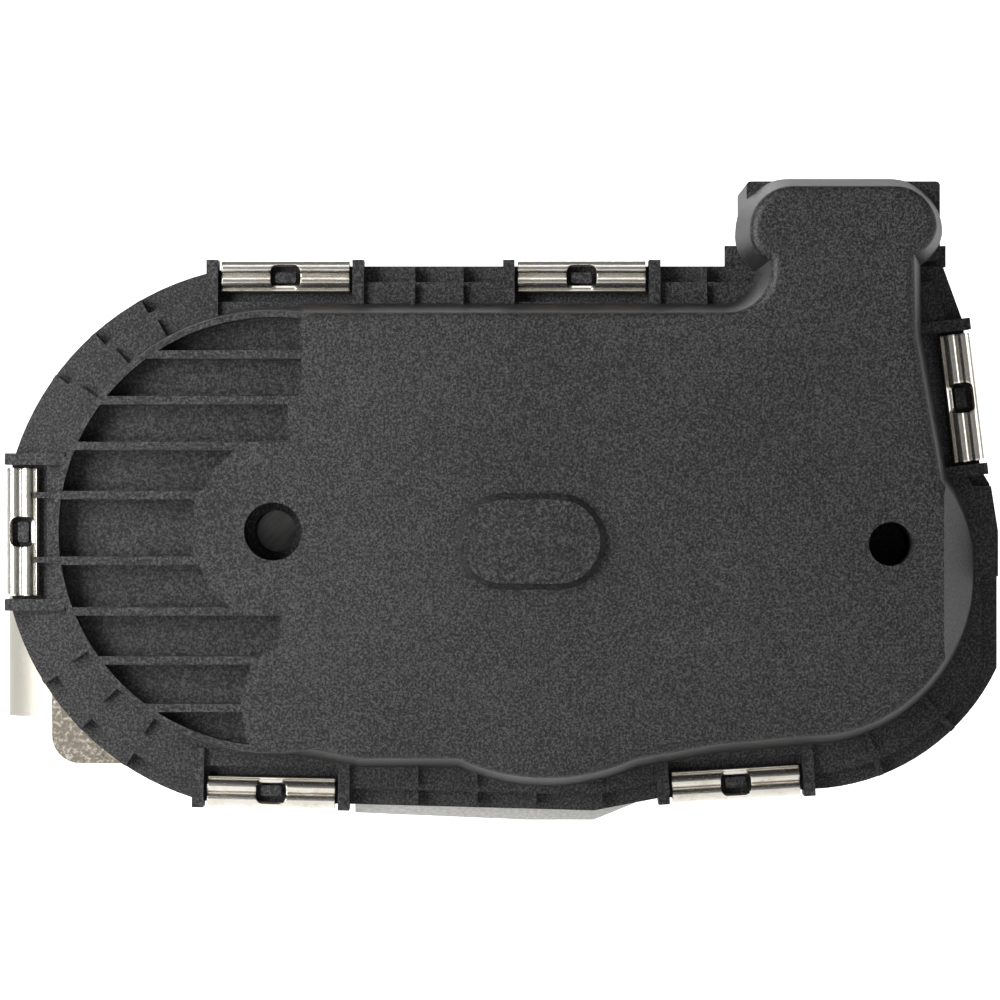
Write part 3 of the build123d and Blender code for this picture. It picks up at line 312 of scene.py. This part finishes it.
@dataclass(frozen=True)
class CastAluminium:
    """Die-cast aluminium: a grained skin, smooth on the flange, and machined where something seats."""

    name: str = "cast_aluminium"
    skin: tuple = (0.21, 0.190, 0.155)
    pale: tuple = (0.52, 0.485, 0.42)
    stain: tuple = (0.12, 0.105, 0.085)
    cut: tuple = (0.83, 0.82, 0.80)
    smooth: tuple = (0.48, 0.465, 0.41)
    bore_radius: float = 26.0
    spigot_start: float = 38.0
    spigot_radius: float = 28.6
    case_rim: float = 52.4
    flange_half: float = 35.0
    flange_top: float = 8.0
    bolt_half_pitch: float = 28.0
    lug_radius: float = 7.0
    lug_top: float = 16.0
    blur: float = 0.2
    grit_scale: float = 1.9
    lathe_scale: float = 4.2
    relief_depth: float = 0.11

    def _fair(self, x: Value, y: Value, z: Value) -> Value:
        """Share of the smooth skin, which covers the flange's plate and the lugs on its bolt holes.

        Args:
            x: place along X in millimetres.
            y: place along Y in millimetres.
            z: place along Z in millimetres.

        Returns:
            1 on the plate and the lugs, 0 elsewhere.
        """
        edge, soft = self.flange_half + self.blur, self.flange_half + 2 * self.blur
        plate = x.absolute().step(soft, edge) * y.absolute().step(soft, edge)
        plate = plate * z.step(self.flange_top + 2 * self.blur, self.flange_top + self.blur)
        beside, behind = x.absolute() - self.bolt_half_pitch, y.absolute() - self.bolt_half_pitch
        lugs = (beside * beside + behind * behind).root().step(
            self.lug_radius + 2 * self.blur, self.lug_radius + self.blur
        ) * z.step(self.lug_top + 2 * self.blur, self.lug_top + self.blur)
        return plate.greater(lugs)

    def _machined(self, y: Value, z: Value, radius: Value) -> Value:
        """Share of the machined metal: bore, flange face, side of the hose spigot, and the case's rim.

        Args:
            y: place along Y in millimetres.
            z: place along Z in millimetres.
            radius: distance from the bore's axis in millimetres.

        Returns:
            1 on machined faces, 0 elsewhere.
        """
        in_bore = radius.step(self.bore_radius + 0.12, self.bore_radius + 0.04)
        on_flange = z.step(0.06, 0.02) * z.step(-0.06, -0.02)
        on_flange = on_flange * y.step(-self.flange_half - 0.8, -self.flange_half)
        spigot = z.step(self.spigot_start - 0.1, self.spigot_start + 0.1)
        spigot = spigot * radius.step(self.spigot_radius - 0.3, self.spigot_radius - 0.1)
        spigot = spigot * radius.step(self.spigot_radius + 0.4, self.spigot_radius + 0.2)
        rim = y.step(-self.case_rim, -self.case_rim - 0.08)
        return in_bore.greater(on_flange).greater(spigot).greater(rim)

    def material(self) -> bpy.types.Material:
        """Build the node material."""
        graph = Graph(self.name)
        x, y, z = graph.axes()
        radius = (x * x + y * y).root()
        machined = self._machined(y, z, radius)
        fair = self._fair(x, y, z)
        grit = graph.noise(self.grit_scale, 4.0, 0.68)
        lumps = graph.noise(0.35, 3.0, 0.5)
        pits = graph.cells(1.1).step(0.30, 0.10) * graph.noise(0.5, 1.0).step(0.45, 0.65)
        mottle = graph.noise(0.06, 4.0, 0.6)
        flow = graph.noise(0.10, 3.0, 0.6, graph.vector(x * 0.35, y, z * 1.6))
        skin = graph.blend(mottle.step(0.30, 0.75), self.stain, self.skin)
        skin = graph.blend(grit.step(0.46, 0.66) * 0.60, skin, self.pale)
        skin = graph.blend(flow.step(0.55, 0.8) * 0.35, skin, self.pale)
        turned = graph.vector(radius * self.lathe_scale, 0.0, z * self.lathe_scale)
        around = graph.noise(1.0, 3.0, 0.6, turned)
        cut = graph.blend(around.step(0.3, 0.7) * 0.30, self.cut, self.skin)
        skin = graph.blend(fair * 0.85, skin, self.smooth)
        graph.link("Base Color", graph.blend(machined, skin, cut))
        rough_skin = 0.45 + (grit - 0.5) * 0.40 + mottle * 0.10 + fair * 0.08
        rough_cut = 0.24 + around * 0.14
        graph.link("Roughness", rough_skin * (1.0 - machined) + rough_cut * machined)
        coarse = (1.0 - machined) * (1.0 - fair * 0.7)
        relief = (grit * 0.60 + lumps * 0.5 - pits * 0.35) * coarse + around * machined * 0.10
        graph.bump(relief, self.relief_depth, 0.85)
        graph.set(Metallic=0.93)
        return graph.material


@dataclass(frozen=True)
class PlatedSpring:
    """Bright nickel on pressed spring steel, drawn lines along the strip, and warm brown patches of painted
    reflection standing in for the dark cover mirrored in the metal.
    """

    name: str = "nickel_spring_steel"
    bright: tuple = (0.86, 0.83, 0.76)
    # colour of the painted reflection: a warm brown laid into the nickel in patches
    reflected_brown: tuple = (0.60, 0.52, 0.40)
    dull: tuple = (0.42, 0.38, 0.33)

    def material(self) -> bpy.types.Material:
        """Build the node material; the lines follow the strip's own UV map, along V."""
        graph = Graph(self.name)
        surface = graph.node("ShaderNodeTexCoord", {}, {}).outputs["UV"]
        split = graph.node("ShaderNodeSeparateXYZ", {}, {0: surface})
        across, along = Value(graph, split.outputs[0]), Value(graph, split.outputs[1])
        lines = graph.noise(1.0, 3.0, 0.6, graph.vector(across * 16.0, along * 0.35, 0.0))
        patches = graph.noise(0.55, 4.0, 0.62)
        dots = graph.cells(2.4).step(0.16, 0.05) * patches.step(0.5, 0.7)
        # painted reflection: warm brown patches mixed into the nickel where the patch noise is high
        colour = graph.blend(patches.step(0.42, 0.78) * 0.55, self.bright, self.reflected_brown)
        colour = graph.blend(lines.step(0.52, 0.8) * 0.35, colour, self.dull)
        colour = graph.blend(dots * 0.6, colour, self.dull)
        graph.link("Base Color", colour)
        graph.link("Roughness", 0.13 + lines * 0.16 + patches * 0.08)
        graph.bump(lines * 0.6 + patches * 0.8, 0.016, 0.7)
        graph.set(Metallic=1.0)
        return graph.material


class Grain(Enum):
    """How a tool has marked a metal face."""

    BRUSHED_ACROSS = "slanted strokes across the shaft's end"
    TURNED_ABOUT_BORE = "rings about the bore"
    DRAWN_ALONG_Y = "lines along Y"
    PLAIN = "even"


@dataclass(frozen=True)
class WorkedMetal:
    """A metal with tool marks of one kind, a second tint in patches, and small nicks."""

    name: str
    base: tuple
    tint: tuple
    grain: Grain = Grain.PLAIN
    roughness: float = 0.30
    spread: float = 0.14
    mark_scale: float = 6.0
    mark_depth: float = 0.010
    metallic: float = 1.0

    def _marks(self, graph: Graph) -> Value:
        """Noise stretched along the tool's path."""
        x, y, z = graph.axes()
        if self.grain is Grain.BRUSHED_ACROSS:
            at = graph.vector((x + z) * 0.25, (x - z) * self.mark_scale, y * 0.4)
        elif self.grain is Grain.TURNED_ABOUT_BORE:
            at = graph.vector((x * x + y * y).root() * self.mark_scale, 0.0, 0.0)
        elif self.grain is Grain.DRAWN_ALONG_Y:
            at = graph.vector(x * self.mark_scale, y * 0.12, z * self.mark_scale)
        else:
            return graph.noise(self.mark_scale * 0.5, 3.0, 0.6)
        return graph.noise(1.0, 3.0, 0.6, at)

    def material(self) -> bpy.types.Material:
        """Build the node material."""
        graph = Graph(self.name)
        marks = self._marks(graph)
        patches = graph.noise(0.22, 4.0, 0.6)
        nicks = graph.cells(0.8).step(0.12, 0.04) * patches.step(0.45, 0.7)
        share = (marks - 0.5) * 0.8 + patches * 0.6
        colour = graph.blend(share, self.base, self.tint)
        graph.link("Base Color", graph.blend(nicks * 0.5, colour, self.tint))
        graph.link("Roughness", self.roughness + (marks - 0.5) * self.spread + patches * self.spread * 0.5)
        graph.bump(marks * 0.8 - nicks * 0.6, self.mark_depth, 0.8)
        graph.set(Metallic=self.metallic)
        return graph.material


@dataclass(frozen=True)
class DullCompound:
    """A non-metal moulding, pressing or laminate: two close tones, a grain and a sheen of its own."""

    name: str
    low: tuple
    high: tuple
    roughness: float = 0.55
    grain_scale: float = 2.2
    relief: float = 0.020
    coat: float = 0.0

    def material(self) -> bpy.types.Material:
        """Build the node material."""
        graph = Graph(self.name)
        grain = graph.noise(self.grain_scale, 3.0, 0.6)
        cloud = graph.noise(0.10, 3.0, 0.55)
        graph.link("Base Color", graph.blend((grain - 0.5) * 0.9 + cloud * 0.9, self.low, self.high))
        graph.link("Roughness", self.roughness + (grain - 0.5) * 0.16 + (cloud - 0.5) * 0.12)
        graph.bump(grain, self.relief, 0.6)
        graph.set(Coat_Weight=self.coat)
        return graph.material


@dataclass(frozen=True)
class WoundWire:
    """Enamelled copper: every strand's lacquer catches the light, tinted by a deeper red between strands."""

    name: str = "copper"
    strand: tuple = (0.78, 0.33, 0.14)
    deep: tuple = (0.30, 0.09, 0.04)

    def material(self) -> bpy.types.Material:
        """Build the node material."""
        graph = Graph(self.name)
        streaks = graph.noise(2.0, 3.0, 0.6)
        graph.link("Base Color", graph.blend(streaks.step(0.3, 0.75), self.deep, self.strand))
        graph.link("Roughness", 0.24 + streaks * 0.16)
        graph.bump(streaks, 0.012, 0.6)
        graph.set(Metallic=0.9, Coat_Weight=0.6)
        return graph.material


FINISHES = (
    MouldedCover(),
    CastAluminium(),
    PlatedSpring(),
    WoundWire(),
    WorkedMetal(
        "ground_steel", (0.40, 0.40, 0.39), (0.16, 0.16, 0.16),
        Grain.BRUSHED_ACROSS, 0.34, 0.2, 2.2, 0.03,
    ),
    WorkedMetal(
        "plate_aluminium", (0.80, 0.79, 0.77), (0.58, 0.57, 0.55),
        Grain.TURNED_ABOUT_BORE, 0.30, 0.2, 3.2, 0.018,
    ),
    WorkedMetal("zinc_screws", (0.66, 0.68, 0.70), (0.50, 0.48, 0.40), Grain.PLAIN, 0.34),
    WorkedMetal("bearing_steel", (0.66, 0.67, 0.68), (0.52, 0.53, 0.54), Grain.DRAWN_ALONG_Y, 0.14, 0.08),
    WorkedMetal("brass_pinion", (0.80, 0.58, 0.26), (0.56, 0.38, 0.16), Grain.DRAWN_ALONG_Y, 0.26),
    WorkedMetal("spring_wire", (0.36, 0.36, 0.37), (0.20, 0.20, 0.20), Grain.DRAWN_ALONG_Y, 0.32),
    WorkedMetal("motor_can_steel", (0.64, 0.64, 0.62), (0.48, 0.47, 0.43), Grain.DRAWN_ALONG_Y, 0.30),
    WorkedMetal("sintered_bronze", (0.50, 0.34, 0.17), (0.30, 0.20, 0.10), Grain.PLAIN, 0.48, 0.2, 8.0, 0.02),
    WorkedMetal("lamination_steel", (0.30, 0.30, 0.31), (0.14, 0.15, 0.18), Grain.PLAIN, 0.40),
    WorkedMetal("tinned_terminals", (0.72, 0.72, 0.70), (0.58, 0.56, 0.50), Grain.DRAWN_ALONG_Y, 0.22),
    DullCompound("seal_rubber", (0.012, 0.012, 0.013), (0.035, 0.034, 0.034), 0.62, 1.6),
    DullCompound("natural_gear_plastic", (0.62, 0.58, 0.47), (0.76, 0.73, 0.64), 0.40, 1.2, 0.010),
    DullCompound("magnet_ferrite", (0.020, 0.020, 0.022), (0.055, 0.054, 0.056), 0.66, 3.5),
    DullCompound("carbon", (0.010, 0.010, 0.010), (0.035, 0.034, 0.033), 0.48, 4.0),
    DullCompound("board_laminate", (0.010, 0.060, 0.028), (0.020, 0.110, 0.050), 0.35, 1.5, 0.008, 0.5),
)


# ---------------------------------------------------------------- surfaces
def grid_object(
    name: str,
    points: np.ndarray,
    closed_rows: bool = False,
    closed_columns: bool = False,
    keep: Optional[np.ndarray] = None,
    sharp_degrees: float = 40.0,
) -> bpy.types.Object:
    """Make a mesh object from a grid of points.

    Each cell between neighbouring rows and columns becomes one four-sided face. The UV map holds the
    lengths run along the first row and the first column, in millimetres.

    Args:
        name: the object's name.
        points: array of rows by columns by 3, in metres.
        closed_rows: join the last row to the first.
        closed_columns: join the last column to the first.
        keep: array of cells that stay, or None for all.
        sharp_degrees: edges turned by more than this are shaded as creases.

    Returns:
        The new object, linked to the scene.
    """
    rows, columns = points.shape[:2]
    row_cells = rows if closed_rows else rows - 1
    column_cells = columns if closed_columns else columns - 1
    row, column = np.meshgrid(np.arange(row_cells), np.arange(column_cells), indexing="ij")
    after_row, after_column = (row + 1) % rows, (column + 1) % columns
    corners = np.stack(
        [row * columns + column, after_row * columns + column,
         after_row * columns + after_column, row * columns + after_column], axis=-1,
    )
    flat = corners.reshape(-1, 4) if keep is None else corners[keep]
    mesh = bpy.data.meshes.new(name)
    mesh.from_pydata(points.reshape(-1, 3).tolist(), [], flat.tolist())
    run_rows = np.concatenate([[0.0], np.cumsum(np.linalg.norm(np.diff(points[:, 0], axis=0), axis=1))])
    run_columns = np.concatenate([[0.0], np.cumsum(np.linalg.norm(np.diff(points[0], axis=0), axis=1))])
    loops = np.empty(len(mesh.loops), dtype=np.int32)
    mesh.loops.foreach_get("vertex_index", loops)
    chart = np.stack([run_rows[loops // columns], run_columns[loops % columns]], axis=-1) / MM
    mesh.uv_layers.new(name="strip").data.foreach_set("uv", chart.ravel().astype(np.float32))
    return mesh_object(name, mesh, sharp_degrees)


def mesh_object(name: str, mesh: bpy.types.Mesh, sharp_degrees: float) -> bpy.types.Object:
    """Validate a mesh, smooth it but for its creases, and link it as an object.

    Args:
        name: the object's name.
        mesh: the mesh data.
        sharp_degrees: edges turned by more than this stay creased.

    Returns:
        The new object.
    """
    mesh.validate()
    mesh.polygons.foreach_set("use_smooth", np.ones(len(mesh.polygons), dtype=bool))
    mesh.set_sharp_from_angle(angle=math.radians(sharp_degrees))
    made = bpy.data.objects.new(name, mesh)
    bpy.context.scene.collection.objects.link(made)
    return made


def tube_points(path: np.ndarray, radius: np.ndarray, sides: int) -> np.ndarray:
    """Circles carried along a path.

    At each point the circle stands square to the path; its first direction is the one before it with
    the part along the path taken away, so the circles don't twist. The radius may change on the way.

    Args:
        path: array of points by 3, in metres.
        radius: radius at each point, in metres.
        sides: points on a circle.

    Returns:
        Array of points by sides by 3.
    """
    tangent = np.gradient(path, axis=0)
    tangent /= np.linalg.norm(tangent, axis=1, keepdims=True)
    helper = np.array([0.13, 0.91, 0.39])
    side = helper - (tangent @ helper)[:, None] * tangent
    side /= np.linalg.norm(side, axis=1, keepdims=True)
    other = np.cross(tangent, side)
    turn = np.linspace(0, 2 * np.pi, sides, endpoint=False)
    ring = np.cos(turn)[None, :, None] * side[:, None] + np.sin(turn)[None, :, None] * other[:, None]
    return path[:, None] + radius[:, None, None] * ring


def rounded_ends(count: int, radius: float, length: float, cap: float) -> tuple[np.ndarray, np.ndarray]:
    """Stations and radii of a rod whose two ends close in quarter rounds.

    Args:
        count: stations on each end.
        radius: the rod's radius.
        length: the rod's whole length.
        cap: how long each rounded end is.

    Returns:
        Stations from 0 to length, and the radius at each.
    """
    angle = np.linspace(0, np.pi / 2, count)
    start = cap * (1 - np.cos(angle))
    swell = np.maximum(np.sin(angle), 1e-3) * radius
    stations = np.concatenate([start, length - start[::-1]])
    return stations, np.concatenate([swell, swell[::-1]])


# ---------------------------------------------------------------- sub-assemblies
@dataclass
class Wardrobe:
    """All finishes, built once, and the calls that put them on pieces."""

    materials: dict[str, bpy.types.Material] = field(default_factory=dict)

    def build(self) -> None:
        """Build the material of each finish."""
        for finish in FINISHES:
            self.materials[finish.name] = finish.material()
            LOG.info("finish %s", finish.name)

    def dress_frame(self) -> None:
        """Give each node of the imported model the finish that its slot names."""
        for subpart in frame["record"]["subparts"]:
            node = frame["nodes"][subpart["node"]]
            material = self.materials[subpart["material_slot"]]
            if not node.material_slots:
                node.data.materials.append(material)
            for slot in node.material_slots:
                slot.material = material

    def dress(self, piece: bpy.types.Object, slot: str, body: Body, stands_for: Iterable[str] = ()) -> None:
        """Finish a new piece.

        Args:
            piece: the new object.
            slot: the material slot that it takes its finish from.
            body: the body that it rides on.
            stands_for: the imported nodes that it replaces.
        """
        piece.data.materials.append(self.materials[slot])
        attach(piece, body.value)
        if stands_for:
            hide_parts(*stands_for)
        LOG.info("piece %s on %s", piece.name, body.value)


@dataclass
class CoverClips:
    """The six pressed spring clips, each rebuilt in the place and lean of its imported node."""

    wardrobe: Wardrobe
    count: int = 6
    sheet: float = 0.5 * MM
    bars: int = 2
    bars_share: float = 0.86
    bar_rise: float = 0.85 * MM
    lip_rise: float = 0.35 * MM
    rear_reach: float = 2.9 * MM
    bend: float = 0.55 * MM
    window_half: float = 1.85 * MM
    window_corner: float = 0.75 * MM
    window_start: float = 0.42 * MM
    window_end: float = 3.02 * MM
    side_stations: int = 22
    window_stations: int = 12

    def _section(self, width: float, back: float, crest: float) -> np.ndarray:
        """Middle line of the sheet, as inward distance and depth towards the viewer.

        The rear leg runs outwards and turns a quarter round into the web. The front leg's depth is
        that of its valleys plus a rise times the 0.6th power of a sine, which makes two round bars,
        and past the bars a straight lip climbs again.

        Args:
            width: inward reach of the front leg's middle line.
            back: depth of the rear leg.
            crest: depth of the bars' tops.

        Returns:
            Array of points by 2.
        """
        turn = np.linspace(0, np.pi / 2, 8)
        rear = np.stack([np.linspace(self.rear_reach, self.bend, 10), np.full(10, back)], axis=1)
        bend = np.stack([self.bend * (1 - np.sin(turn)), back + self.bend * (1 - np.cos(turn))], axis=1)
        valley = crest - self.bar_rise
        web = np.stack([np.zeros(10), np.linspace(back + self.bend, valley, 10)], axis=1)
        inward = np.linspace(0, 1, 61)
        on_bars = np.minimum(inward / self.bars_share, 1.0)
        swell = self.bar_rise * np.abs(np.sin(np.pi * on_bars * self.bars)) ** 0.6
        climb = self.lip_rise * np.clip((inward - self.bars_share) / (1 - self.bars_share), 0, 1)
        front = np.stack([inward * width, valley + swell + climb], axis=1)
        line = np.concatenate([rear, bend[1:], web[1:], front[1:]])
        smooth = line.copy()
        smooth[1:-1] = (line[:-2] + 2 * line[1:-1] + line[2:]) / 4
        return smooth

    def _stations(self, section: np.ndarray, half: float) -> np.ndarray:
        """Places along the clip for every row of the section.

        The columns at the window's two ends follow its outline, whose corners are quarter rounds:
        half length less the corner's radius plus the root of radius squared less depth squared.

        Args:
            section: middle line of the sheet.
            half: half the clip's length.

        Returns:
            Array of rows by columns.
        """
        radius = self.window_corner
        depth = np.maximum(
            radius - (section[:, 0] - self.window_start), radius - (self.window_end - section[:, 0])
        )
        depth = np.clip(depth, 0, radius)
        edge = (self.window_half - radius + np.sqrt(radius**2 - depth**2))[:, None]
        side = np.linspace(0, 1, self.side_stations + 1)[None]
        inside = np.linspace(-1, 1, self.window_stations + 1)[None, 1:-1]
        left = -half + (half - edge) * side
        return np.concatenate([left, edge * inside, -left[:, ::-1]], axis=1)

    def build_one(self, number: int) -> bpy.types.Object:
        """Build one clip.

        Args:
            number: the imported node's number.

        Returns:
            The clip, dressed and riding on the housing.
        """
        node = frame["nodes"][f"cover_clip_{number}"]
        flat = np.empty(len(node.data.vertices) * 3)
        node.data.vertices.foreach_get("co", flat)
        cloud = flat.reshape(-1, 3)
        low, high = (np.array(corner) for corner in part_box(node.name))
        plan = cloud[:, [0, 2]]
        middle = (plan.max(axis=0) + plan.min(axis=0)) / 2
        spread = np.cov((plan - middle).T)
        along = np.linalg.eigh(spread)[1][:, -1]
        inward = np.array([-along[1], along[0]])
        centre = np.array([(CAD_BOX[0][0] + CAD_BOX[1][0]) / 2, SHAFT_Z])
        if inward @ (centre - middle) < 0:
            inward = -inward
        across = (plan - middle) @ inward
        lengthwise = (plan - middle) @ along
        outer, inner = across.min(), across.max()
        half = (lengthwise.max() - lengthwise.min()) / 2
        shift = (lengthwise.max() + lengthwise.min()) / 2
        width = inner - outer - self.sheet
        section = self._section(width, -high[1] + self.sheet / 2, -low[1] - self.sheet / 2)
        run = self._stations(section, half)
        reach = outer + self.sheet / 2 + section[:, 0]
        place = middle + along * shift
        grid = np.empty((*run.shape, 3))
        grid[..., 0] = place[0] + reach[:, None] * inward[0] + run * along[0]
        grid[..., 1] = -section[:, 1][:, None]
        grid[..., 2] = place[1] + reach[:, None] * inward[1] + run * along[1]
        mid_reach = (section[1:, 0] + section[:-1, 0]) / 2
        on_front = section[1:, 1] > section[:, 1].max() - self.bar_rise - 0.1 * MM
        column = np.arange(run.shape[1] - 1)
        in_window = (
            (on_front & (mid_reach > self.window_start) & (mid_reach < self.window_end))[:, None]
            & ((column >= self.side_stations) & (column < self.side_stations + self.window_stations))[None]
        )
        piece = grid_object(f"clip_pressing_{number}", grid, keep=~in_window, sharp_degrees=60)
        thicken = piece.modifiers.new("sheet", "SOLIDIFY")
        thicken.thickness = self.sheet
        thicken.offset = 0.0
        soften = piece.modifiers.new("edges", "BEVEL")
        soften.width = 0.09 * MM
        soften.segments = 2
        soften.limit_method = "ANGLE"
        soften.angle_limit = math.radians(50)
        self.wardrobe.dress(piece, "nickel_spring_steel", Body.HOUSING, [node.name])
        return piece

    def build(self) -> None:
        """Build all clips."""
        for number in range(1, self.count + 1):
            self.build_one(number)


@dataclass
class ReturnSpring:
    """The torsion spring round the drive side bearing, wound from one wire with closed ends."""

    wardrobe: Wardrobe
    wire: float = 0.6 * MM
    turns: float = 4.2
    sides: int = 14
    points_per_turn: int = 48
    end_sharpness: float = 400.0

    def build(self) -> bpy.types.Object:
        """Wind the spring: a helix about the shaft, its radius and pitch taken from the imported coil.

        Returns:
            The spring, dressed and riding on the housing.
        """
        low, high = (np.array(corner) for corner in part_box("return_spring"))
        radius = (high[0] - low[0]) / 2 - self.wire
        turn = np.linspace(0, 2 * np.pi * self.turns, int(self.turns * self.points_per_turn))
        share = turn / turn[-1]
        path = np.stack([
            radius * np.cos(turn),
            high[1] - self.wire - share * (high[1] - low[1] - 2 * self.wire),
            SHAFT_Z + radius * np.sin(turn),
        ], axis=1)
        swell = self.wire * np.clip(np.minimum(share, 1 - share) * self.end_sharpness, 0.02, 1.0)
        piece = grid_object("spring_coil", tube_points(path, swell, self.sides), closed_columns=True)
        self.wardrobe.dress(piece, "spring_wire", Body.HOUSING, ["return_spring"])
        return piece


@dataclass
class ArmatureCoils:
    """The wound bundles in the armature's slots, each a packed bundle of strands with domed ends."""

    wardrobe: Wardrobe
    bundles: int = 5
    strands: int = 16
    strand_swell: float = 0.055
    strand_twist: float = 40.0
    sides: int = 128
    orbit: float = 8.5 * MM
    half_out: float = 2.45 * MM
    half_round: float = 2.9 * MM
    dome: float = 3.0 * MM
    dome_rings: int = 9

    def build(self) -> list[bpy.types.Object]:
        """Build the bundles.

        A bundle's section is a superellipse of the fourth order whose edge swells once per strand; it
        runs along the motor's axis, twists slowly, and closes in a quarter round at each end.

        Returns:
            The bundles.
        """
        low, high = (np.array(corner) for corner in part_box("armature_windings"))
        shaft_low, shaft_high = (np.array(corner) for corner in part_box("motor_shaft"))
        centre = (shaft_low + shaft_high) / 2
        turn = np.linspace(0, 2 * np.pi, self.sides, endpoint=False)
        stations, radii = rounded_ends(self.dome_rings, 1.0, high[1] - low[1], self.dome)
        made = []
        for number in range(self.bundles):
            angle = 2 * np.pi * number / self.bundles
            phase = turn[None] + stations[:, None] * self.strand_twist
            power = (np.abs(np.cos(turn)) ** 4 + np.abs(np.sin(turn)) ** 4) ** -0.25
            swell = (1 - self.strand_swell * np.cos(phase * self.strands) ** 2) * radii[:, None]
            out = self.orbit + self.half_out * np.cos(turn)[None] * power[None] * swell
            side = self.half_round * np.sin(turn)[None] * power[None] * swell
            grid = np.empty((len(stations), self.sides, 3))
            grid[..., 0] = centre[0] + out * np.cos(angle) - side * np.sin(angle)
            grid[..., 1] = high[1] - stations[:, None]
            grid[..., 2] = centre[2] + out * np.sin(angle) + side * np.cos(angle)
            piece = grid_object(f"winding_{number + 1}", grid, closed_columns=True, sharp_degrees=80)
            stands_for = ["armature_windings"] if number == 0 else []
            self.wardrobe.dress(piece, "copper", Body.ROTOR, stands_for)
            made.append(piece)
        return made


@dataclass(frozen=True)
class Lamp:
    """One rectangular soft light: its place and size in metres, and its power in watts."""

    name: str
    place: tuple
    size: tuple
    power: float


@dataclass
class Studio:
    """Pale floor and sweep, soft lights from the left, the right, above and behind, and the camera."""

    camera_distance: float = 700 * MM
    frame_width: float = 120 * MM
    aim_x: float = 27.3 * MM
    aim_above_shaft: float = 3.8 * MM
    sensor: float = 36.0
    floor_drop: float = 34 * MM
    glow_start: float = -120 * MM
    glow_end: float = 70 * MM
    front_glow: tuple = (0.10, 0.10, 0.10)
    back_glow: tuple = (1.0, 1.0, 1.0)
    sweep_front: float = -2.2
    sweep_flat: float = 1.3
    sweep_bend: float = 0.5
    sweep_height: float = 1.6
    sweep_half_width: float = 2.6
    room_light: float = 0.17
    lamps: tuple = (
        Lamp("left_box", (-0.25, -0.32, 0.11), (0.20, 0.32), 2.6),
        Lamp("right_box", (0.75, -0.20, 0.04), (0.35, 0.60), 1.6),
        Lamp("top_box", (0.03, -0.55, 0.80), (0.80, 0.40), 1.3),
        Lamp("rear_box", (-0.35, 0.95, 0.75), (0.80, 0.60), 3.0),
    )

    def _light(self, plan: Lamp) -> None:
        """Add a rectangular soft light that faces the object.

        Args:
            plan: the light to add.
        """
        lamp = bpy.data.lights.new(plan.name, "AREA")
        lamp.shape = "RECTANGLE"
        lamp.size, lamp.size_y = plan.size
        lamp.energy = plan.power
        rig = bpy.data.objects.new(plan.name, lamp)
        rig.location = plan.place
        aim = np.array([self.aim_x, 0.0, SHAFT_Z]) - np.array(plan.place)
        flat = math.hypot(aim[0], aim[1])
        rig.rotation_euler = (math.atan2(flat, -aim[2]), 0.0, math.atan2(-aim[0], aim[1]))
        bpy.context.scene.collection.objects.link(rig)

    def _sweep(self) -> None:
        """Add the floor and backdrop: a flat floor that turns up in a quarter round at the back."""
        low = CAD_BOX[0][2] - self.floor_drop
        flat, bend = self.sweep_flat, self.sweep_bend
        turn = np.linspace(0, np.pi / 2, 24)
        run = np.concatenate([[self.sweep_front], flat + bend * np.sin(turn), [flat + bend]])
        rise = np.concatenate([[0.0], bend * (1 - np.cos(turn)), [self.sweep_height]]) + low
        grid = np.empty((len(run), 2, 3))
        grid[..., 0] = np.array([-self.sweep_half_width, self.sweep_half_width])[None]
        grid[..., 1] = run[:, None]
        grid[..., 2] = rise[:, None]
        sweep = grid_object("sweep", grid, sharp_degrees=80)
        graph = Graph("pale_paper")
        paper = graph.noise(0.02, 2.0)
        _, y, _ = graph.axes()
        behind = y.step(self.glow_start / MM, self.glow_end / MM)
        graph.link("Roughness", 0.85 + paper * 0.1)
        graph.link("Emission Color", graph.blend(behind, self.front_glow, self.back_glow))
        graph.set(Base_Color=(0.80, 0.80, 0.80, 1.0), Emission_Strength=1.0)
        sweep.data.materials.append(graph.material)

    def _camera(self) -> None:
        """Add the camera straight in front of the cover, level, with its aim above the shaft."""
        lens = bpy.data.cameras.new("camera")
        lens.sensor_width = self.sensor
        lens.lens = self.sensor * self.camera_distance / self.frame_width
        lens.clip_start, lens.clip_end = 0.05, 20.0
        camera = bpy.data.objects.new("camera", lens)
        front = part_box("gear_cover")[0][1]
        camera.location = (self.aim_x, front - self.camera_distance, SHAFT_Z + self.aim_above_shaft)
        camera.rotation_euler = (math.pi / 2, 0.0, 0.0)
        bpy.context.scene.collection.objects.link(camera)
        bpy.context.scene.camera = camera

    def build(self) -> None:
        """Build the whole studio."""
        self._camera()
        self._sweep()
        for lamp in self.lamps:
            self._light(lamp)
        world = bpy.data.worlds.new("soft_room")
        world.use_nodes = True
        backdrop = next(n for n in world.node_tree.nodes if n.type == "BACKGROUND")
        backdrop.inputs["Color"].default_value = (1.0, 1.0, 1.0, 1.0)
        backdrop.inputs["Strength"].default_value = self.room_light
        bpy.context.scene.world = world
        bpy.context.scene.view_settings.view_transform = "Standard"


def main() -> None:
    """Build the studio, the finishes and the new pieces."""
    logging.basicConfig(level=logging.INFO, format="%(name)s: %(message)s")
    Studio().build()
    wardrobe = Wardrobe()
    wardrobe.build()
    wardrobe.dress_frame()
    CoverClips(wardrobe).build()
    ReturnSpring(wardrobe).build()
    ArmatureCoils(wardrobe).build()


if __name__ == "__main__":
    main()
